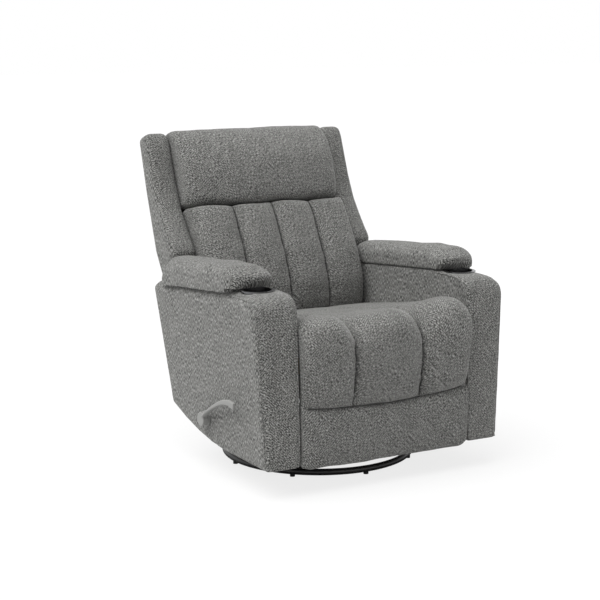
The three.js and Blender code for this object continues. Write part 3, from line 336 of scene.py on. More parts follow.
def cloth(name, kept=False):
    """The chenille on a piece. Where kept, the weave follows the place that the piece keeps for it."""
    material, tree, shader = new_material(name, Sheen_Weight=0.35, Sheen_Roughness=0.45,
                                          Sheen_Tint=(0.8, 0.8, 0.78, 1), Specular_IOR_Level=0.2)
    if kept:
        place = add(tree, "Attribute", attribute_name="cloth_place").outputs["Vector"]
        facing = add(tree, "CombineXYZ", {1: -1.0}).outputs[0]
    else:
        coordinates = add(tree, "TexCoord").outputs
        place, facing = coordinates["Object"], coordinates["Normal"]
    # painted shade: the yarn is darkened near the seams, standing in for the shadow that falls into them
    seam_shade = add(tree, "Attribute", attribute_name="painted_seam_shade").outputs["Fac"]
    tint = maths(tree, "MULTIPLY_ADD", seam_shade, PAINTED_SEAM_SHADE, 1.0)
    weave = put_group(tree, chenille, Position=place, Facing=facing, Tint=tint)
    lay_on(tree, shader, weave, depth=0.0014, strength=0.8)
    return material


fabric = cloth("grey_chenille")

# Arms
# Each arm is a board with foam all round it under a tight cover: two side panels, and a band that runs
# over the front and the top, joined to them by thin piping.


def apply_all(piece):
    """Applies the piece's modifiers in their order."""
    only(piece)
    for modifier in list(piece.modifiers):
        bpy.ops.object.modifier_apply(modifier=modifier.name)


def places(piece):
    """The piece's points as rows of x, y, z."""
    flat = np.empty(len(piece.data.vertices) * 3, np.float32)
    piece.data.vertices.foreach_get("co", flat)
    return flat.reshape(-1, 3).astype(float)


def keep_outer_skin(piece):
    """Deletes every shell but the one that holds the highest point."""
    only(piece)
    bpy.ops.object.mode_set(mode="EDIT")
    bpy.ops.mesh.select_all(action="DESELECT")
    bpy.ops.object.mode_set(mode="OBJECT")
    piece.data.vertices[int(np.argmax(places(piece)[:, 2]))].select = True
    bpy.ops.object.mode_set(mode="EDIT")
    bpy.ops.mesh.select_linked()
    bpy.ops.mesh.select_all(action="INVERT")
    bpy.ops.mesh.delete(type="VERT")
    bpy.ops.object.mode_set(mode="OBJECT")


def soft_copy(name, node_name, voxel, rounds, finer=0):
    """A copy of a CAD node as one closed outer skin of even small faces, its edges softened."""
    piece = nodes[node_name].copy()
    piece.data = nodes[node_name].data.copy()
    piece.animation_data_clear()
    for key in list(piece.keys()):
        if key.startswith("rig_"):
            del piece[key]
    piece.parent = None
    piece.matrix_world = Matrix.Identity(4)
    bpy.context.collection.objects.link(piece)
    only(piece)
    piece.name = name
    piece.data.name = name
    bpy.ops.object.mode_set(mode="EDIT")
    bpy.ops.mesh.select_all(action="SELECT")
    bpy.ops.mesh.remove_doubles(threshold=0.00002)
    bpy.ops.object.mode_set(mode="OBJECT")
    skin = piece.modifiers.new("skin", "REMESH")
    skin.mode = "VOXEL"
    skin.voxel_size = voxel
    soften = piece.modifiers.new("soften", "SMOOTH")
    soften.factor = 0.5
    soften.iterations = rounds
    apply_all(piece)
    keep_outer_skin(piece)
    if finer:
        divide = piece.modifiers.new("finer", "SUBSURF")
        divide.levels = finer
        divide.render_levels = finer
        apply_all(piece)
    only(piece)
    bpy.ops.object.shade_smooth()
    return piece


def distances(points):
    """How far along their line each of these points lies."""
    steps = np.linalg.norm(np.diff(points, axis=0), axis=1)
    return np.concatenate([[0], np.cumsum(steps)])


def ease(points):
    """Moves each inner point halfway towards the middle of its two neighbours."""
    points[1:-1] = (points[:-2] + 2 * points[1:-1] + points[2:]) / 4


def band(first, second, count):
    """The faces between two closed loops of count points, from the numbers of the loops' first points."""
    return [(first + k, first + (k + 1) % count, second + (k + 1) % count, second + k) for k in range(count)]


def closed_skin(name, points, faces):
    """A new piece of these points and faces, with its faces turned outwards and shaded smooth."""
    mesh = bpy.data.meshes.new(name)
    mesh.from_pydata(points, [], faces)
    piece = bpy.data.objects.new(name, mesh)
    bpy.context.collection.objects.link(piece)
    only(piece)
    bpy.ops.object.mode_set(mode="EDIT")
    bpy.ops.mesh.select_all(action="SELECT")
    bpy.ops.mesh.normals_make_consistent(inside=False)
    bpy.ops.object.mode_set(mode="OBJECT")
    bpy.ops.object.shade_smooth()
    return piece


CORD_SIDES = 8
CORD_STEP = 0.006
CORD_TIP = 0.35  # how thick the cord is at its two tips, as a part of its radius


def piping(name, cover, line, radius, sink):
    """Cord in cloth along this line, laid on the cover and sunk into it by a part of its radius."""
    line = np.array(line, float)
    run = distances(line)
    stops = np.linspace(0, run[-1], int(run[-1] / CORD_STEP))
    route = np.column_stack([np.interp(stops, run, line[:, k]) for k in range(3)])
    ease(route)
    footing = [cover.closest_point_on_mesh(Vector(point))[1:3] for point in route]
    centre = np.array([spot + normal * (radius - sink) for spot, normal in footing])
    for _ in range(3):
        ease(centre)
    points = []
    for k, (middle, ahead) in enumerate(zip(centre, np.gradient(centre, axis=0))):
        ahead = Vector(ahead).normalized()
        across = ahead.cross(footing[k][1].normalized()).normalized()
        out = across.cross(ahead)
        reach = radius * (CORD_TIP if k in (0, len(centre) - 1) else 1.0)
        for turn in np.arange(CORD_SIDES) * 2 * math.pi / CORD_SIDES:
            points.append(tuple(Vector(middle) + (across * math.cos(turn) + out * math.sin(turn)) * reach))
    faces = []
    for k in range(len(centre) - 1):
        faces += band(CORD_SIDES * k, CORD_SIDES * (k + 1), CORD_SIDES)
    faces += [tuple(range(CORD_SIDES)), tuple(range(len(points) - CORD_SIDES, len(points)))]
    return closed_skin(name, points, faces)


# (y, z) in millimetres, from the cup holder over the front and down: the edge between the band and the panels
ARM_FRONT = [(-236, 601), (-300, 602), (-345, 600), (-376, 588), (-393, 564), (-402, 530), (-406, 460),
             (-410, 360), (-414, 240), (-418, 110)]
INNER_PANEL = 0.3035
OUTER_PANEL = 0.4385
OUTER_DROP = 0.004
PIPING_RADIUS = 0.0024
INNER_SINK = 0.0016
OUTER_SINK = 0.0019
for side_name, hand in (("left", -1), ("right", 1)):
    arm = soft_copy(f"arm_cover_{side_name}", f"arm_{side_name}", voxel=0.005, rounds=3)
    dress(arm, "carriage", fabric, "fabric", f"arm_{side_name}")
    inner = [(hand * INNER_PANEL, y / 1000, z / 1000) for y, z in ARM_FRONT]
    outer = [(hand * OUTER_PANEL, y / 1000, z / 1000 - OUTER_DROP) for y, z in ARM_FRONT]
    cord = piping(f"arm_piping_{side_name}", arm, inner, PIPING_RADIUS, INNER_SINK)
    dress(cord, "carriage", fabric, "fabric")
    seam_cord = piping(f"arm_seam_{side_name}", arm, outer, PIPING_RADIUS, OUTER_SINK)
    dress(seam_cord, "carriage", fabric, "fabric")

# Arm pads
# A stuffed pillow on each arm behind the cup holder, of the same cloth over loose filling.
# It is sewn shut at its blunt nose, and closed down along the arm.


def put(piece, points):
    """Moves the piece's points to these places."""
    piece.data.vertices.foreach_set("co", points.astype(np.float32).ravel())
    piece.data.update()


def rise(value, start, end):
    """0 on the near side of start, 1 beyond end, and a straight rise between them."""
    return np.clip((value - start) / (end - start), 0, 1)


PAD_MIDDLE = 0.371
PAD_INNER_EXTRA = 0.015  # how much further the pad reaches on the side of the seat
CUP_FLOOR = 0.6105       # the pad's underside behind the cup's rim
NOSE_HEIGHTS = (0.600, 0.607, 0.6105, 0.612, 0.625, 0.640, 0.655, 0.668, 0.680)
NOSE_OUTSIDE = (0, 1, 5, 10, 14, 14, 8, 0, -8)  # how many millimetres the nose comes forward there
NOSE_INSIDE = (0, 1, 5, 10, 16, 25, 25, 16, -1)
SAG_PLACES = (-0.25, -0.15, -0.05, 0.05, 0.15)
SAG = (0.011, 0.011, 0.006, 0.002, 0)
INNER_SAG = 0.004
FRONT_DROP = 0.012
REAR_DRAW = 0.045
ARM_TOP_PLACES = (-0.2, -0.1, 0.0, 0.2)
ARM_TOP = (0.594, 0.579, 0.5704, 0.553)
TUCK = 0.006
for side_name in ("left", "right"):
    pad = soft_copy(f"arm_pillow_{side_name}", f"arm_pad_{side_name}", voxel=0.005, rounds=4, finer=1)
    points = places(pad)
    x, y, z = np.abs(points[:, 0]), points[:, 1].copy(), points[:, 2].copy()
    # the nose is blunt, fullest in its middle and on the side of the seat
    off_middle = np.where(x < PAD_MIDDLE, PAD_MIDDLE - x - PAD_INNER_EXTRA, x - PAD_MIDDLE)
    in_middle = 1 - rise(off_middle, 0.045, 0.075) ** 2
    outside = np.interp(z, NOSE_HEIGHTS, NOSE_OUTSIDE) / 1000
    inside = np.interp(z, NOSE_HEIGHTS, NOSE_INSIDE) / 1000
    forward = outside + (inside - outside) * rise(x, 0.391, 0.351)
    points[:, 1] -= rise(y, -0.140, -0.190) * forward * np.where(forward > 0, in_middle, 1)
    # the top sags towards the front and the seat, and the nose comes down behind the cup
    sag = np.interp(y, SAG_PLACES, SAG) + INNER_SAG * rise(x, 0.345, 0.305)
    points[:, 2] -= sag * rise(z, 0.625, 0.675)
    points[:, 2] -= FRONT_DROP * rise(z, 0.650, 0.625) * rise(y, -0.195, -0.215)
    too_low = (points[:, 1] < -0.214) & (points[:, 2] < CUP_FLOOR)
    points[:, 2] = np.where(too_low, CUP_FLOOR, points[:, 2])
    # the rear outer corner is drawn in, and the lower outer edge is tucked up
    points[:, 1] -= REAR_DRAW * rise(y, 0.10, 0.25) * rise(x, 0.37, 0.43)
    over_arm = z - np.interp(y, ARM_TOP_PLACES, ARM_TOP)
    points[:, 2] += TUCK * rise(x, 0.425, 0.440) * rise(over_arm, 0.03, 0)
    put(pad, points)
    dress(pad, "carriage", fabric, "fabric", f"arm_pad_{side_name}")

# Cup holders
# A drawn steel cup with a rolled rim, darkened, and dropped into the arm top in front of each pad.
cup_metal = hard_finish("dark_cup_steel", colour=(0.20, 0.20, 0.205), roughness=0.26, grain=300.0,
                        depth=0.00005, stretch=0.1, Metallic=1.0)
paint(cup_metal, "cup_holder_left", "cup_holder_right")

# Seat and footrest cover
# One quilted cover over the seat foam, the front roll and the footrest board: three stuffed channels and
# a plain lower panel.


def smooth_line(points):
    """A dense smooth line through these points, with the same number of steps from each to the next."""
    q = np.array(points, float)
    q = np.vstack([2 * q[0] - q[1], q, 2 * q[-1] - q[-2]])
    t = np.linspace(0, 1, 12, endpoint=False)[:, None]
    line = []
    for a, b, c, d in zip(q, q[1:], q[2:], q[3:]):
        bend = (2 * a - 5 * b + 4 * c - d) * t ** 2 + (3 * b - a - 3 * c + d) * t ** 3
        line.append(0.5 * (2 * b + (c - a) * t + bend))
    return np.vstack([*line, q[-2:-1]])


def curve_through(points, count, pace=None):
    """Points along a smooth line through these, evenly spaced on it or on the line that sets the pace."""
    line = smooth_line(points)
    run = distances(smooth_line(pace or points))
    stops = np.linspace(0, run[-1], count)
    return np.column_stack([np.interp(stops, run, line[:, k]) for k in (0, 1)])


def end_strip(loop, split):
    """Triangles that close a loop by joining its first split points to the rest, which run back beside
    them, and for each point the one across from it."""
    near = list(range(split))
    far = list(range(len(loop) - 1, split - 1, -1))
    near_run, far_run = distances(loop[near]), distances(loop[far])
    near_run, far_run = near_run / near_run[-1], far_run / far_run[-1]
    i = j = 0
    faces = []
    while i < len(near) - 1 or j < len(far) - 1:
        if j == len(far) - 1 or (i < len(near) - 1 and near_run[i + 1] <= far_run[j + 1]):
            faces.append((near[i], near[i + 1], far[j]))
            i += 1
        else:
            faces.append((near[i], far[j + 1], far[j]))
            j += 1
    there = [far[int(np.clip(np.argmin(abs(far_run - at)), 1, len(far) - 2))] for at in near_run]
    back = [near[int(np.clip(np.argmin(abs(near_run - at)), 1, len(near) - 2))] for at in far_run]
    return faces, there + back[::-1]


def cloth_places(columns, loops, edges):
    """Where on its cloth each point of these loops lies: how far across its channel, and how far along."""
    points = np.array([[(x, y, z) for y, z in loop] for x, loop in zip(columns, loops)])
    steps = np.linalg.norm(np.diff(points, axis=0), axis=2)
    across = np.concatenate([np.zeros((1, len(loops[0]))), np.cumsum(steps, axis=0)])
    place = np.zeros(points.shape, np.float32)
    place[:, :, 2] = distances(np.mean(loops, axis=0))
    for low, high in zip(edges, edges[1:]):
        channel = (columns > low - 1e-6) & (columns < high + 1e-6)
        middle = (low + high) / 2
        place[channel, :, 0] = middle + across[channel] - across[np.argmin(np.abs(columns - middle))]
    return place.reshape(-1, 3)


END_INSET = 0.003


def quilted(name, columns, loops, edges, split):
    """A closed skin: at each x of columns stands one loop of (y, z) points, and the two ends are closed.
    It keeps where on the cloth each point lies, which the weave follows."""
    rows = len(loops[0])
    points = [(x, y, z) for x, loop in zip(columns, loops) for y, z in loop]
    faces = []
    for k in range(len(columns) - 1):
        faces += band(k * rows, (k + 1) * rows, rows)
    # each end is an inset ring, on which the weave follows the plain side, and a strip of triangles across it
    ends = []
    for first, loop in ((0, loops[0]), (len(points) - rows, loops[-1])):
        strip, across = end_strip(loop, split)
        inward = loop[across] - loop
        inset = loop + inward * np.minimum(0.25, END_INSET / np.linalg.norm(inward, axis=1))[:, None]
        start = len(points) + len(ends)
        ends += [(points[first][0], y, z) for y, z in inset]
        faces += band(first, start, rows)
        faces += [tuple(start + k for k in face) for face in strip]
    piece = closed_skin(name, points + ends, faces)
    on_ends = np.array([(y, 0, z) for _, y, z in ends], np.float32)
    place = np.vstack([cloth_places(columns, loops, edges), on_ends])
    kept_place = piece.data.attributes.new("cloth_place", "FLOAT_VECTOR", "POINT")
    kept_place.data.foreach_set("vector", place.ravel())
    return piece


def channel_columns(edges, steps):
    """The x of each column across a row of channels, closest together at the seams."""
    columns = [edges[0]]
    for low, high, count in zip(edges, edges[1:], steps):
        t = np.linspace(-1, 1, count + 1)[1:]
        columns += list((low + high) / 2 + (high - low) / 2 * np.sign(t) * (1 - (1 - np.abs(t)) ** 1.5))
    return np.array(columns)


def puff(x, edges, fullness):
    """0 in a seam and 1 on a channel's crown, which is the broader the fuller it is."""
    k = np.clip(np.searchsorted(edges, x, side="right") - 1, 0, len(edges) - 2)
    middle, half = (edges[k] + edges[k + 1]) / 2, (edges[k + 1] - edges[k]) / 2
    return (1 - min(abs(x - middle) / half, 1) ** fullness) ** 0.5


def facings(piece):
    """The piece's normals at its points, as rows of x, y, z."""
    flat = np.empty(len(piece.data.vertices) * 3, np.float32)
    piece.data.vertex_normals.foreach_get("vector", flat)
    return flat.reshape(-1, 3).astype(float)


def wave(at, length, seed):
    """A smooth uneven wave from -1 to 1 along at, the same in each run."""
    a = at * (2 * math.pi / length)
    waves = np.sin(a + seed) + 0.7 * np.sin(1.73 * a + 2.1 * seed) + 0.5 * np.sin(2.61 * a + 3.7 * seed)
    return waves / 2.2


def gather(piece, seams, mask, amount, reach, length, seed):
    """Small puckers that run away from seams at these x, on the part of the piece that mask picks."""
    points, normals = places(piece), facings(piece)
    move = np.zeros(len(points))
    for k, x in enumerate(seams):
        near_seam = np.exp(-((np.abs(points[:, 0] - x) - 0.01) / reach) ** 2)
        for hand, this_side in ((1, points[:, 0] > x), (2, points[:, 0] <= x)):
            pucker = wave(points[:, 2] - points[:, 1], length, seed + 1.7 * k + hand) * near_seam
            move += np.where(this_side & mask, pucker, 0)
    put(piece, points + normals * (amount * move)[:, None])


def uneven(piece, mask, amount, seed):
    """The low soft swells of a stuffed cover."""
    points, normals = places(piece), facings(piece)
    start = Vector((seed, 0, 0))
    swell = [noise.noise(Vector(p) * 9.0 + start) + 0.5 * noise.noise(Vector(p) * 21.0) for p in points]
    put(piece, points + normals * (amount * np.array(swell) * mask)[:, None])


SEAM_SHADE_WIDTH = 0.0022


def paint_seam_shade(piece, distance, fade=1.0):
    """Keeps how much painted shade the cloth takes, from each point's distance to the nearest seam."""
    seam_shade = (fade * np.exp(-(distance / SEAM_SHADE_WIDTH) ** 2)).astype(np.float32)
    piece.data.attributes.new("painted_seam_shade", "FLOAT", "POINT").data.foreach_set("value", seam_shade)


# (y, z) in millimetres from the rear edge over the top and down the front: a channel's crown, seam, side edge
SEAT_CROWN = [(152, 425), (150, 444), (110, 453), (20, 467), (-90, 482), (-200, 499), (-290, 518),
              (-350, 532), (-400, 533), (-438, 516), (-457, 486), (-462, 446), (-461, 395), (-457, 342),
              (-447, 293), (-431, 263), (-416, 250)]
SEAT_SEAM = [(152, 425), (150, 441), (110, 449), (20, 460), (-90, 471), (-200, 480), (-280, 481),
             (-335, 474), (-376, 460), (-402, 440), (-415, 418), (-419, 394), (-418, 362), (-414, 328),
             (-411, 296), (-411, 268), (-412, 250)]
SEAT_SIDE = [(152, 425), (150, 438), (110, 447), (20, 464), (-90, 482), (-200, 500), (-285, 512),
             (-345, 514), (-395, 503), (-420, 484), (-430, 457), (-428, 422), (-422, 383), (-413, 340),
             (-407, 300), (-407, 270), (-412, 250)]
# the plain panel below them, and then up behind it and back under the seat
SEAT_LOW = [(-416, 250), (-423, 244), (-429, 230), (-433, 190), (-433, 140), (-429, 100), (-420, 82),
            (-408, 79)]
SEAT_UNDER = [(-402.5, 84), (-401, 120), (-401, 250), (-401, 385), (-401, 412), (-398, 424), (-388, 430),
              (-377, 427), (-368, 418), (-356, 413.8), (-330, 413.5), (-200, 413.5), (0, 413.5), (110, 413.5),
              (135, 414.5), (148, 418)]
SEAT_HALF = 0.2998   # half the width of the cover
SEAT_SEAM_X = 0.119  # from the middle to each seam between channels
CORNER_X = 0.262     # from the middle to where each lower corner begins
CORNER_BACK = 0.009
CORNER_UP = 0.014
ACROSS_HALF = 0.274  # half the length of the seam across, between channels and lower panel
ROW_STEP = 0.0024    # how far apart the rows lie at that seam
FRONT_FULLNESS = 3.6
TOP_FULLNESS = 2.3
STUFFING_PLACES = (-0.25, -SEAT_SEAM_X, 0.0, SEAT_SEAM_X, 0.25)
STUFFING = (-0.003, -0.004, -0.004, 0.003, 0.017)  # the right channel is fullest
seat_seams = (-SEAT_SEAM_X, SEAT_SEAM_X)
seat_edges = np.array([-SEAT_HALF, *seat_seams, SEAT_HALF])
columns = channel_columns(seat_edges, (38, 46, 38))
crown, seam, edge = [curve_through(line, 190) / 1000 for line in (SEAT_CROWN, SEAT_SEAM, SEAT_SIDE)]
low = curve_through(SEAT_LOW, 40)[1:] / 1000
under = curve_through(SEAT_UNDER, 90)[:-1] / 1000
front_roll = np.interp(crown[:, 0], (-0.40, -0.33, -0.1, 0.1), (1.0, 1.0, 0.3, 0.0))
front_roll *= rise(crown[:, 1], 0.44, 0.52)
on_top = rise(crown[:, 1], 0.47, 0.52)
loops = []
for x, filling in zip(columns, np.interp(columns, STUFFING_PLACES, STUFFING)):
    crowned = puff(x, seat_edges, FRONT_FULLNESS) * (1 - on_top) + puff(x, seat_edges, TOP_FULLNESS) * on_top
    base = edge if abs(x) > (SEAT_SEAM_X + SEAT_HALF) / 2 else seam
    top = base + (crown - base) * crowned[:, None]
    top[:, 1] += filling * front_roll * crowned
    # the seam across lies lowest in its middle
    foot = low.copy()
    t = x / ACROSS_HALF
    tilt = 0.003 + 0.016 * t ** 2 + 0.003 * t
    foot[:, 1] += tilt * np.linspace(1, 0, len(foot)) ** 2
    top[:, 1] += tilt * rise(top[:, 1], 0.31, 0.26)
    # the lower corners are rounded off, backwards and upwards
    corner = max(0.0, (abs(x) - CORNER_X) / (SEAT_HALF - CORNER_X)) ** 2
    foot[:, 0] += CORNER_BACK * corner * np.sin(np.linspace(0, math.pi, len(foot))) ** 0.5
    foot[:, 1] += CORNER_UP * corner * np.linspace(0, 1, len(foot)) ** 3
    behind = under.copy()
    behind[:, 1] += CORNER_UP * corner * rise(under[:, 1], 0.14, 0.084)
    loops.append(np.vstack([top, foot, behind]))
seat = quilted("seat_and_footrest_cover", columns, loops, seat_edges, len(crown) + len(low))

# the two ends draw in below the front roll, most just above the seam across
DRAWN_HEIGHTS = (0.09, 0.16, 0.23, 0.30, 0.34, 0.42, 0.49, 0.52)
DRAWN_IN = (4.5, 3.5, 3.0, 6.0, 6.0, 3.5, 1.0, 0.0)  # millimetres
points = places(seat)
drawn = np.interp(points[:, 2], DRAWN_HEIGHTS, DRAWN_IN) / 1000
points[:, 0] -= np.sign(points[:, 0]) * drawn * rise(np.abs(points[:, 0]), 0.2, SEAT_HALF) ** 2
put(seat, points)
outer = (points[:, 1] < -0.405) | (points[:, 2] > 0.47)
off_middle = np.abs(points[:, 0])
gather(seat, seat_seams, outer & (points[:, 2] > 0.285), amount=0.0022, reach=0.022, length=0.045, seed=1.0)
uneven(seat, outer & (off_middle < 0.285), amount=0.003, seed=3.0)
from_seam = np.where(outer & (points[:, 2] > 0.262), np.abs(off_middle - SEAT_SEAM_X), 1.0)
row = np.arange(len(points)) % len(loops[0])
from_across = np.where(off_middle < ACROSS_HALF, np.abs(row - (len(crown) - 1)) * ROW_STEP, 1.0)
# paints shade into the cloth along the channel seams and the seam across, fading out towards the rear
paint_seam_shade(seat, np.minimum(from_seam, from_across), fade=rise(points[:, 1], -0.08, -0.30))
quilt_cloth = cloth("grey_chenille_quilt", kept=True)
seat.data.materials.append(quilt_cloth)
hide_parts("seat_cushion", "footrest_pad")
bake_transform(seat)

# Back cushion and headrest
# Two stuffed pillows on one leaning frame, the back with four upright channels and the headrest plain,
# sewn together along one seam that runs across. Thin dark lining covers the frame behind them.
RAKE = math.radians(19)
FRAME_Y = 0.336  # the foot of the leaning frame
FRAME_Z = 0.36


def off_back(points):
    """How far these points stand in front of the leaning frame."""
    return -(points[:, 1] - FRAME_Y) * math.cos(RAKE) + (points[:, 2] - FRAME_Z) * math.sin(RAKE)


def leaning(points):
    """(up along the frame, out from it) in millimetres to (y, z) in metres."""
    up, out = np.array(points, float).T / 1000
    return np.column_stack([FRAME_Y + up * math.sin(RAKE) - out * math.cos(RAKE),
                            FRAME_Z + up * math.cos(RAKE) + out * math.sin(RAKE)])


def joint_wave(x):
    """How far in millimetres the joint of back and headrest strays from straight."""
    return 1.6 * math.sin(23 * x + 1) + 1.0 * math.sin(47 * x)


# (up, out) in millimetres from the bottom up: crown of a channel, seam, side edge, and down behind them
BACK_CROWN = [(-24, 60), (-28, 110), (-28, 150), (-14, 176), (12, 186), (40, 200), (66, 210), (126, 221),
              (215, 216), (288, 202), (340, 190), (382, 177), (397, 160), (397, 120)]
BACK_SEAM = [(-22, 60), (-26, 110), (-24, 145), (-10, 166), (14, 174), (40, 180), (66, 184), (126, 189),
             (215, 184), (288, 172), (340, 162), (378, 153), (393, 146), (396, 118)]
BACK_SIDE = [(24, 60), (25, 90), (27, 110), (30, 130), (35, 146), (46, 156), (68, 166), (126, 184),
             (200, 178), (270, 163), (330, 146), (375, 130), (399, 118), (404, 100)]
BACK_REAR = [(396, 60), (394, 37.5), (300, 36.6), (200, 36.6), (100, 36.6), (30, 36.8)]
BACK_HALF = 0.289
BACK_SEAM_X = 0.146
BACK_FULLNESS = 3.0
BACK_BELLY = 6  # how many millimetres fuller the back is in its middle
back_seams = (-BACK_SEAM_X, 0.0, BACK_SEAM_X)
back_edges = np.array([-BACK_HALF, *back_seams, BACK_HALF])
columns = channel_columns(back_edges, (32, 32, 32, 32))
crown, seam, edge = [curve_through(line, 150, BACK_CROWN) for line in (BACK_CROWN, BACK_SEAM, BACK_SIDE)]
rear = curve_through(BACK_REAR, 40)
loops = []
for x in columns:
    base = edge if abs(x) > (BACK_SEAM_X + BACK_HALF) / 2 else seam
    top = base + (crown - base) * puff(x, back_edges, BACK_FULLNESS)
    top[:, 1] += BACK_BELLY * (1 - (x / BACK_HALF) ** 2) * rise(top[:, 0], 20, 100)
    top[:, 0] += joint_wave(x) * rise(top[:, 0], 300, 390)
    loops.append(leaning(np.vstack([top, rear])))
back = quilted("back_cushion_cover", columns, loops, back_edges, len(crown))
front = off_back(places(back)) > 0.07
gather(back, back_seams, front, amount=0.0016, reach=0.02, length=0.05, seed=2.0)
uneven(back, front & (np.abs(places(back)[:, 0]) < 0.275), amount=0.003, seed=5.0)
from_seam = np.abs(places(back)[:, :1] - back_seams).min(axis=1)
# paints shade into the cloth along the upright seams on the front
paint_seam_shade(back, np.where(front, from_seam, 1.0))
dress(back, "back", quilt_cloth, "fabric", "back_cushion")

# the headrest in the same way: its crown, its side edge, and down behind them
HEAD_CROWN = [(402, 60), (403, 110), (404, 150), (410, 167), (440, 178), (500, 180), (560, 172), (612, 150),
              (650, 122), (674, 90), (682, 60), (680, 30), (668, 8), (650, 1)]
HEAD_SIDE = [(409, 60), (410, 90), (414, 114), (426, 126), (452, 133), (500, 135), (560, 132), (612, 120),
             (650, 100), (674, 78), (682, 54), (680, 30), (668, 10), (650, 1)]
HEAD_REAR = [(643, 1), (642, 20), (641, 35), (600, 36.6), (500, 36.6), (420, 36.6), (404, 40)]
HEAD_HALF = 0.290
HEAD_CORE = np.array([560.0, 40.0])
HEAD_END_SIZE = 0.80  # how much of its section is left at the rounded ends
head_edges = (-HEAD_HALF, HEAD_HALF)
columns = channel_columns(head_edges, (90,))
crown, edge = [curve_through(line, 130) for line in (HEAD_CROWN, HEAD_SIDE)]
rear = curve_through(HEAD_REAR, 40)
loops = []
for x in columns:
    # one long low crown from side to side, rounded off at both ends
    off_middle = abs(x) / HEAD_HALF
    top = edge + (crown - edge) * (1 - off_middle ** 2.2)
    round_off = math.sqrt(1 - max(0.0, (off_middle - 0.90) / 0.10) ** 2)
    shrink = HEAD_END_SIZE + (1 - HEAD_END_SIZE) * round_off
    top = HEAD_CORE + (top - HEAD_CORE) * np.array([1 - (1 - shrink) * 0.5, shrink])
    top[:, 1] = np.maximum(top[:, 1], 1)
    top[:, 0] += joint_wave(x) * rise(top[:, 0], 470, 410)
    loops.append(leaning(np.vstack([top, rear])))
head = quilted("headrest_cover", columns, loops, head_edges, len(crown))
points = places(head)
uneven(head, (off_back(points) > 0.05) & (np.abs(points[:, 0]) < 0.28), amount=0.003, seed=8.0)
dress(head, "back", quilt_cloth, "fabric", "headrest")

# the lining of the frame, which is what shows down the gap beside the cushions
lining, tree, shader = new_material("dark_lining", Roughness=0.95, Specular_IOR_Level=0.1)
threads = spots(tree, add(tree, "TexCoord").outputs["Object"], 700.0, 2.0)
dark_cloth = ramp(tree, threads, (0.3, (0.02, 0.02, 0.019)), (0.7, (0.05, 0.05, 0.048)))
feed(tree, shader, {"Base Color": dark_cloth, "Normal": bump(tree, threads, 0.0005)})
paint(lining, "back_frame")

# Wings
# Boards with foam round them at both sides of the back, covered like the arms and screwed to its frame.
for side_name in ("left", "right"):
    wing = soft_copy(f"wing_cover_{side_name}", f"wing_{side_name}", voxel=0.005, rounds=3)
    dress(wing, "back", fabric, "fabric", f"wing_{side_name}")

# Rear of the chair
# The outside back is a hardboard panel in the same cloth, with a rail below it that closes the rear.
paint(fabric, "back_panel", "rear_cover")

# Lever
# A grey moulded handle on a round hub, pushed on the drive tube's end, with its cover plate on the arm.
GRIP_START = -0.09  # from here on the grip gets thinner towards its tip
GRIP_TIP = -0.21
GRIP_PLANE = 0.004  # from the lever's outermost point to the plane that it thins towards
GRIP_THINNING = 0.55
lever_plastic = hard_finish("grey_satin_plastic", colour=(0.30, 0.30, 0.29), roughness=0.38, grain=1200.0,
                            depth=0.00005, mottle=0.06)
handle = soft_copy("lever_handle", "lever", voxel=0.0012, rounds=2)
points = places(handle)
plane = points[:, 0].min() + GRIP_PLANE
points[:, 0] += (plane - points[:, 0]) * GRIP_THINNING * rise(points[:, 1], GRIP_START, GRIP_TIP)
put(handle, points)
dress(handle, "drive", lever_plastic, "grey_plastic", "lever")
paint(lever_plastic, "lever_escutcheon")

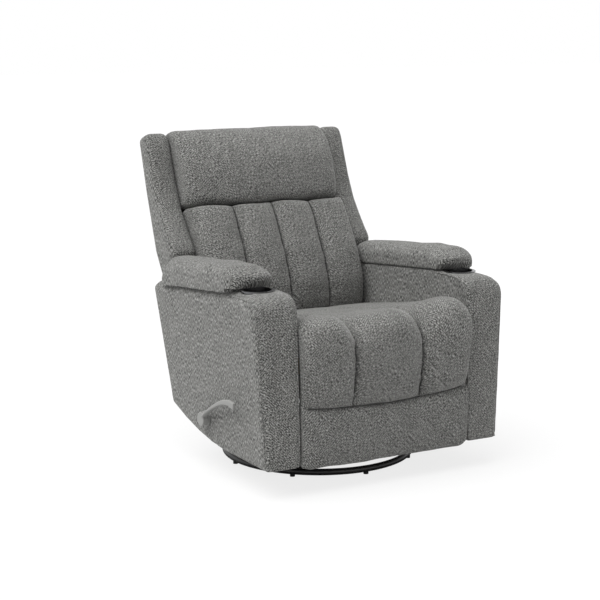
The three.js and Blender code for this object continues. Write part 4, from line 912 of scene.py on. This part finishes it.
# Room
# A white floor and backdrop, one broad soft light from above the left of the chair, and an even sky.
# The camera stands where the photograph was taken from.
FLOOR_COLOUR = (0.62, 0.62, 0.62, 1)  # as the chair sees it
FLOOR_SEEN = (0.19, 0.19, 0.19, 1)    # as the camera sees it, with a glow that whitens all but the shadow
FLOOR_GLOW = 0.80
only(ring)
bpy.ops.mesh.primitive_plane_add(size=60.0, location=(0, 0, 0))
floor = bpy.context.object
floor.name = "floor"
floor_paint, tree, shader = new_material("white_floor", Roughness=0.9, Specular_IOR_Level=0.0,
                                         Emission_Color=(1, 1, 1, 1))
seen = add(tree, "LightPath").outputs["Is Camera Ray"]
grey = add(tree, "Mix", {0: seen, 6: FLOOR_COLOUR, 7: FLOOR_SEEN}, data_type="RGBA").outputs[2]
feed(tree, shader, {"Base Color": grey, "Emission Strength": maths(tree, "MULTIPLY", seen, FLOOR_GLOW)})
floor.data.materials.append(floor_paint)

SKY_STRENGTH = 0.5
world = bpy.data.worlds.new("studio")
bpy.context.scene.world = world
world.use_nodes = True
tree = world.node_tree
tree.nodes.clear()
path = add(tree, "LightPath").outputs
mirrored = maths(tree, "MAXIMUM", path["Is Glossy Ray"], path["Is Transmission Ray"])
seen = maths(tree, "MAXIMUM", path["Is Camera Ray"], mirrored)
sky = add(tree, "Background", {"Color": (1, 1, 1, 1), "Strength": SKY_STRENGTH})
white = add(tree, "Background", {"Color": (1, 1, 1, 1), "Strength": 1.0})
both = add(tree, "MixShader", {0: seen, 1: sky.outputs[0], 2: white.outputs[0]})
add(tree, "OutputWorld", {0: both.outputs[0]})

WHITE_SHEET = 0.9  # what a white sheet that faces the light shows
LIGHT_FROM = (-0.41, -0.03, 0.91)
sun = bpy.data.lights.new("broad_soft_light", "SUN")
sun.energy = math.pi * WHITE_SHEET
sun.angle = math.radians(60)
lamp = bpy.data.objects.new("broad_soft_light", sun)
lamp.rotation_euler = Vector(LIGHT_FROM).to_track_quat("Z", "Y").to_euler()
bpy.context.collection.objects.link(lamp)

CAMERA_PLACE = (-2.535, -4.363, 1.419)
CAMERA_LENS = 95.395
turn = math.radians(-29.508)
lift = math.radians(10.294)
camera = bpy.data.objects.new("camera", bpy.data.cameras.new("camera"))
bpy.context.collection.objects.link(camera)
away = Vector((math.sin(turn) * math.cos(lift), -math.cos(turn) * math.cos(lift), math.sin(lift)))
right = Vector((math.cos(turn), math.sin(turn), 0))
above = away.cross(right)
looking = Matrix((right, above, away)).transposed().to_4x4()
camera.matrix_world = Matrix.Translation(CAMERA_PLACE) @ looking
camera.data.sensor_width = 36
camera.data.lens = CAMERA_LENS
bpy.context.scene.camera = camera
bpy.context.scene.view_settings.view_transform = "Standard"
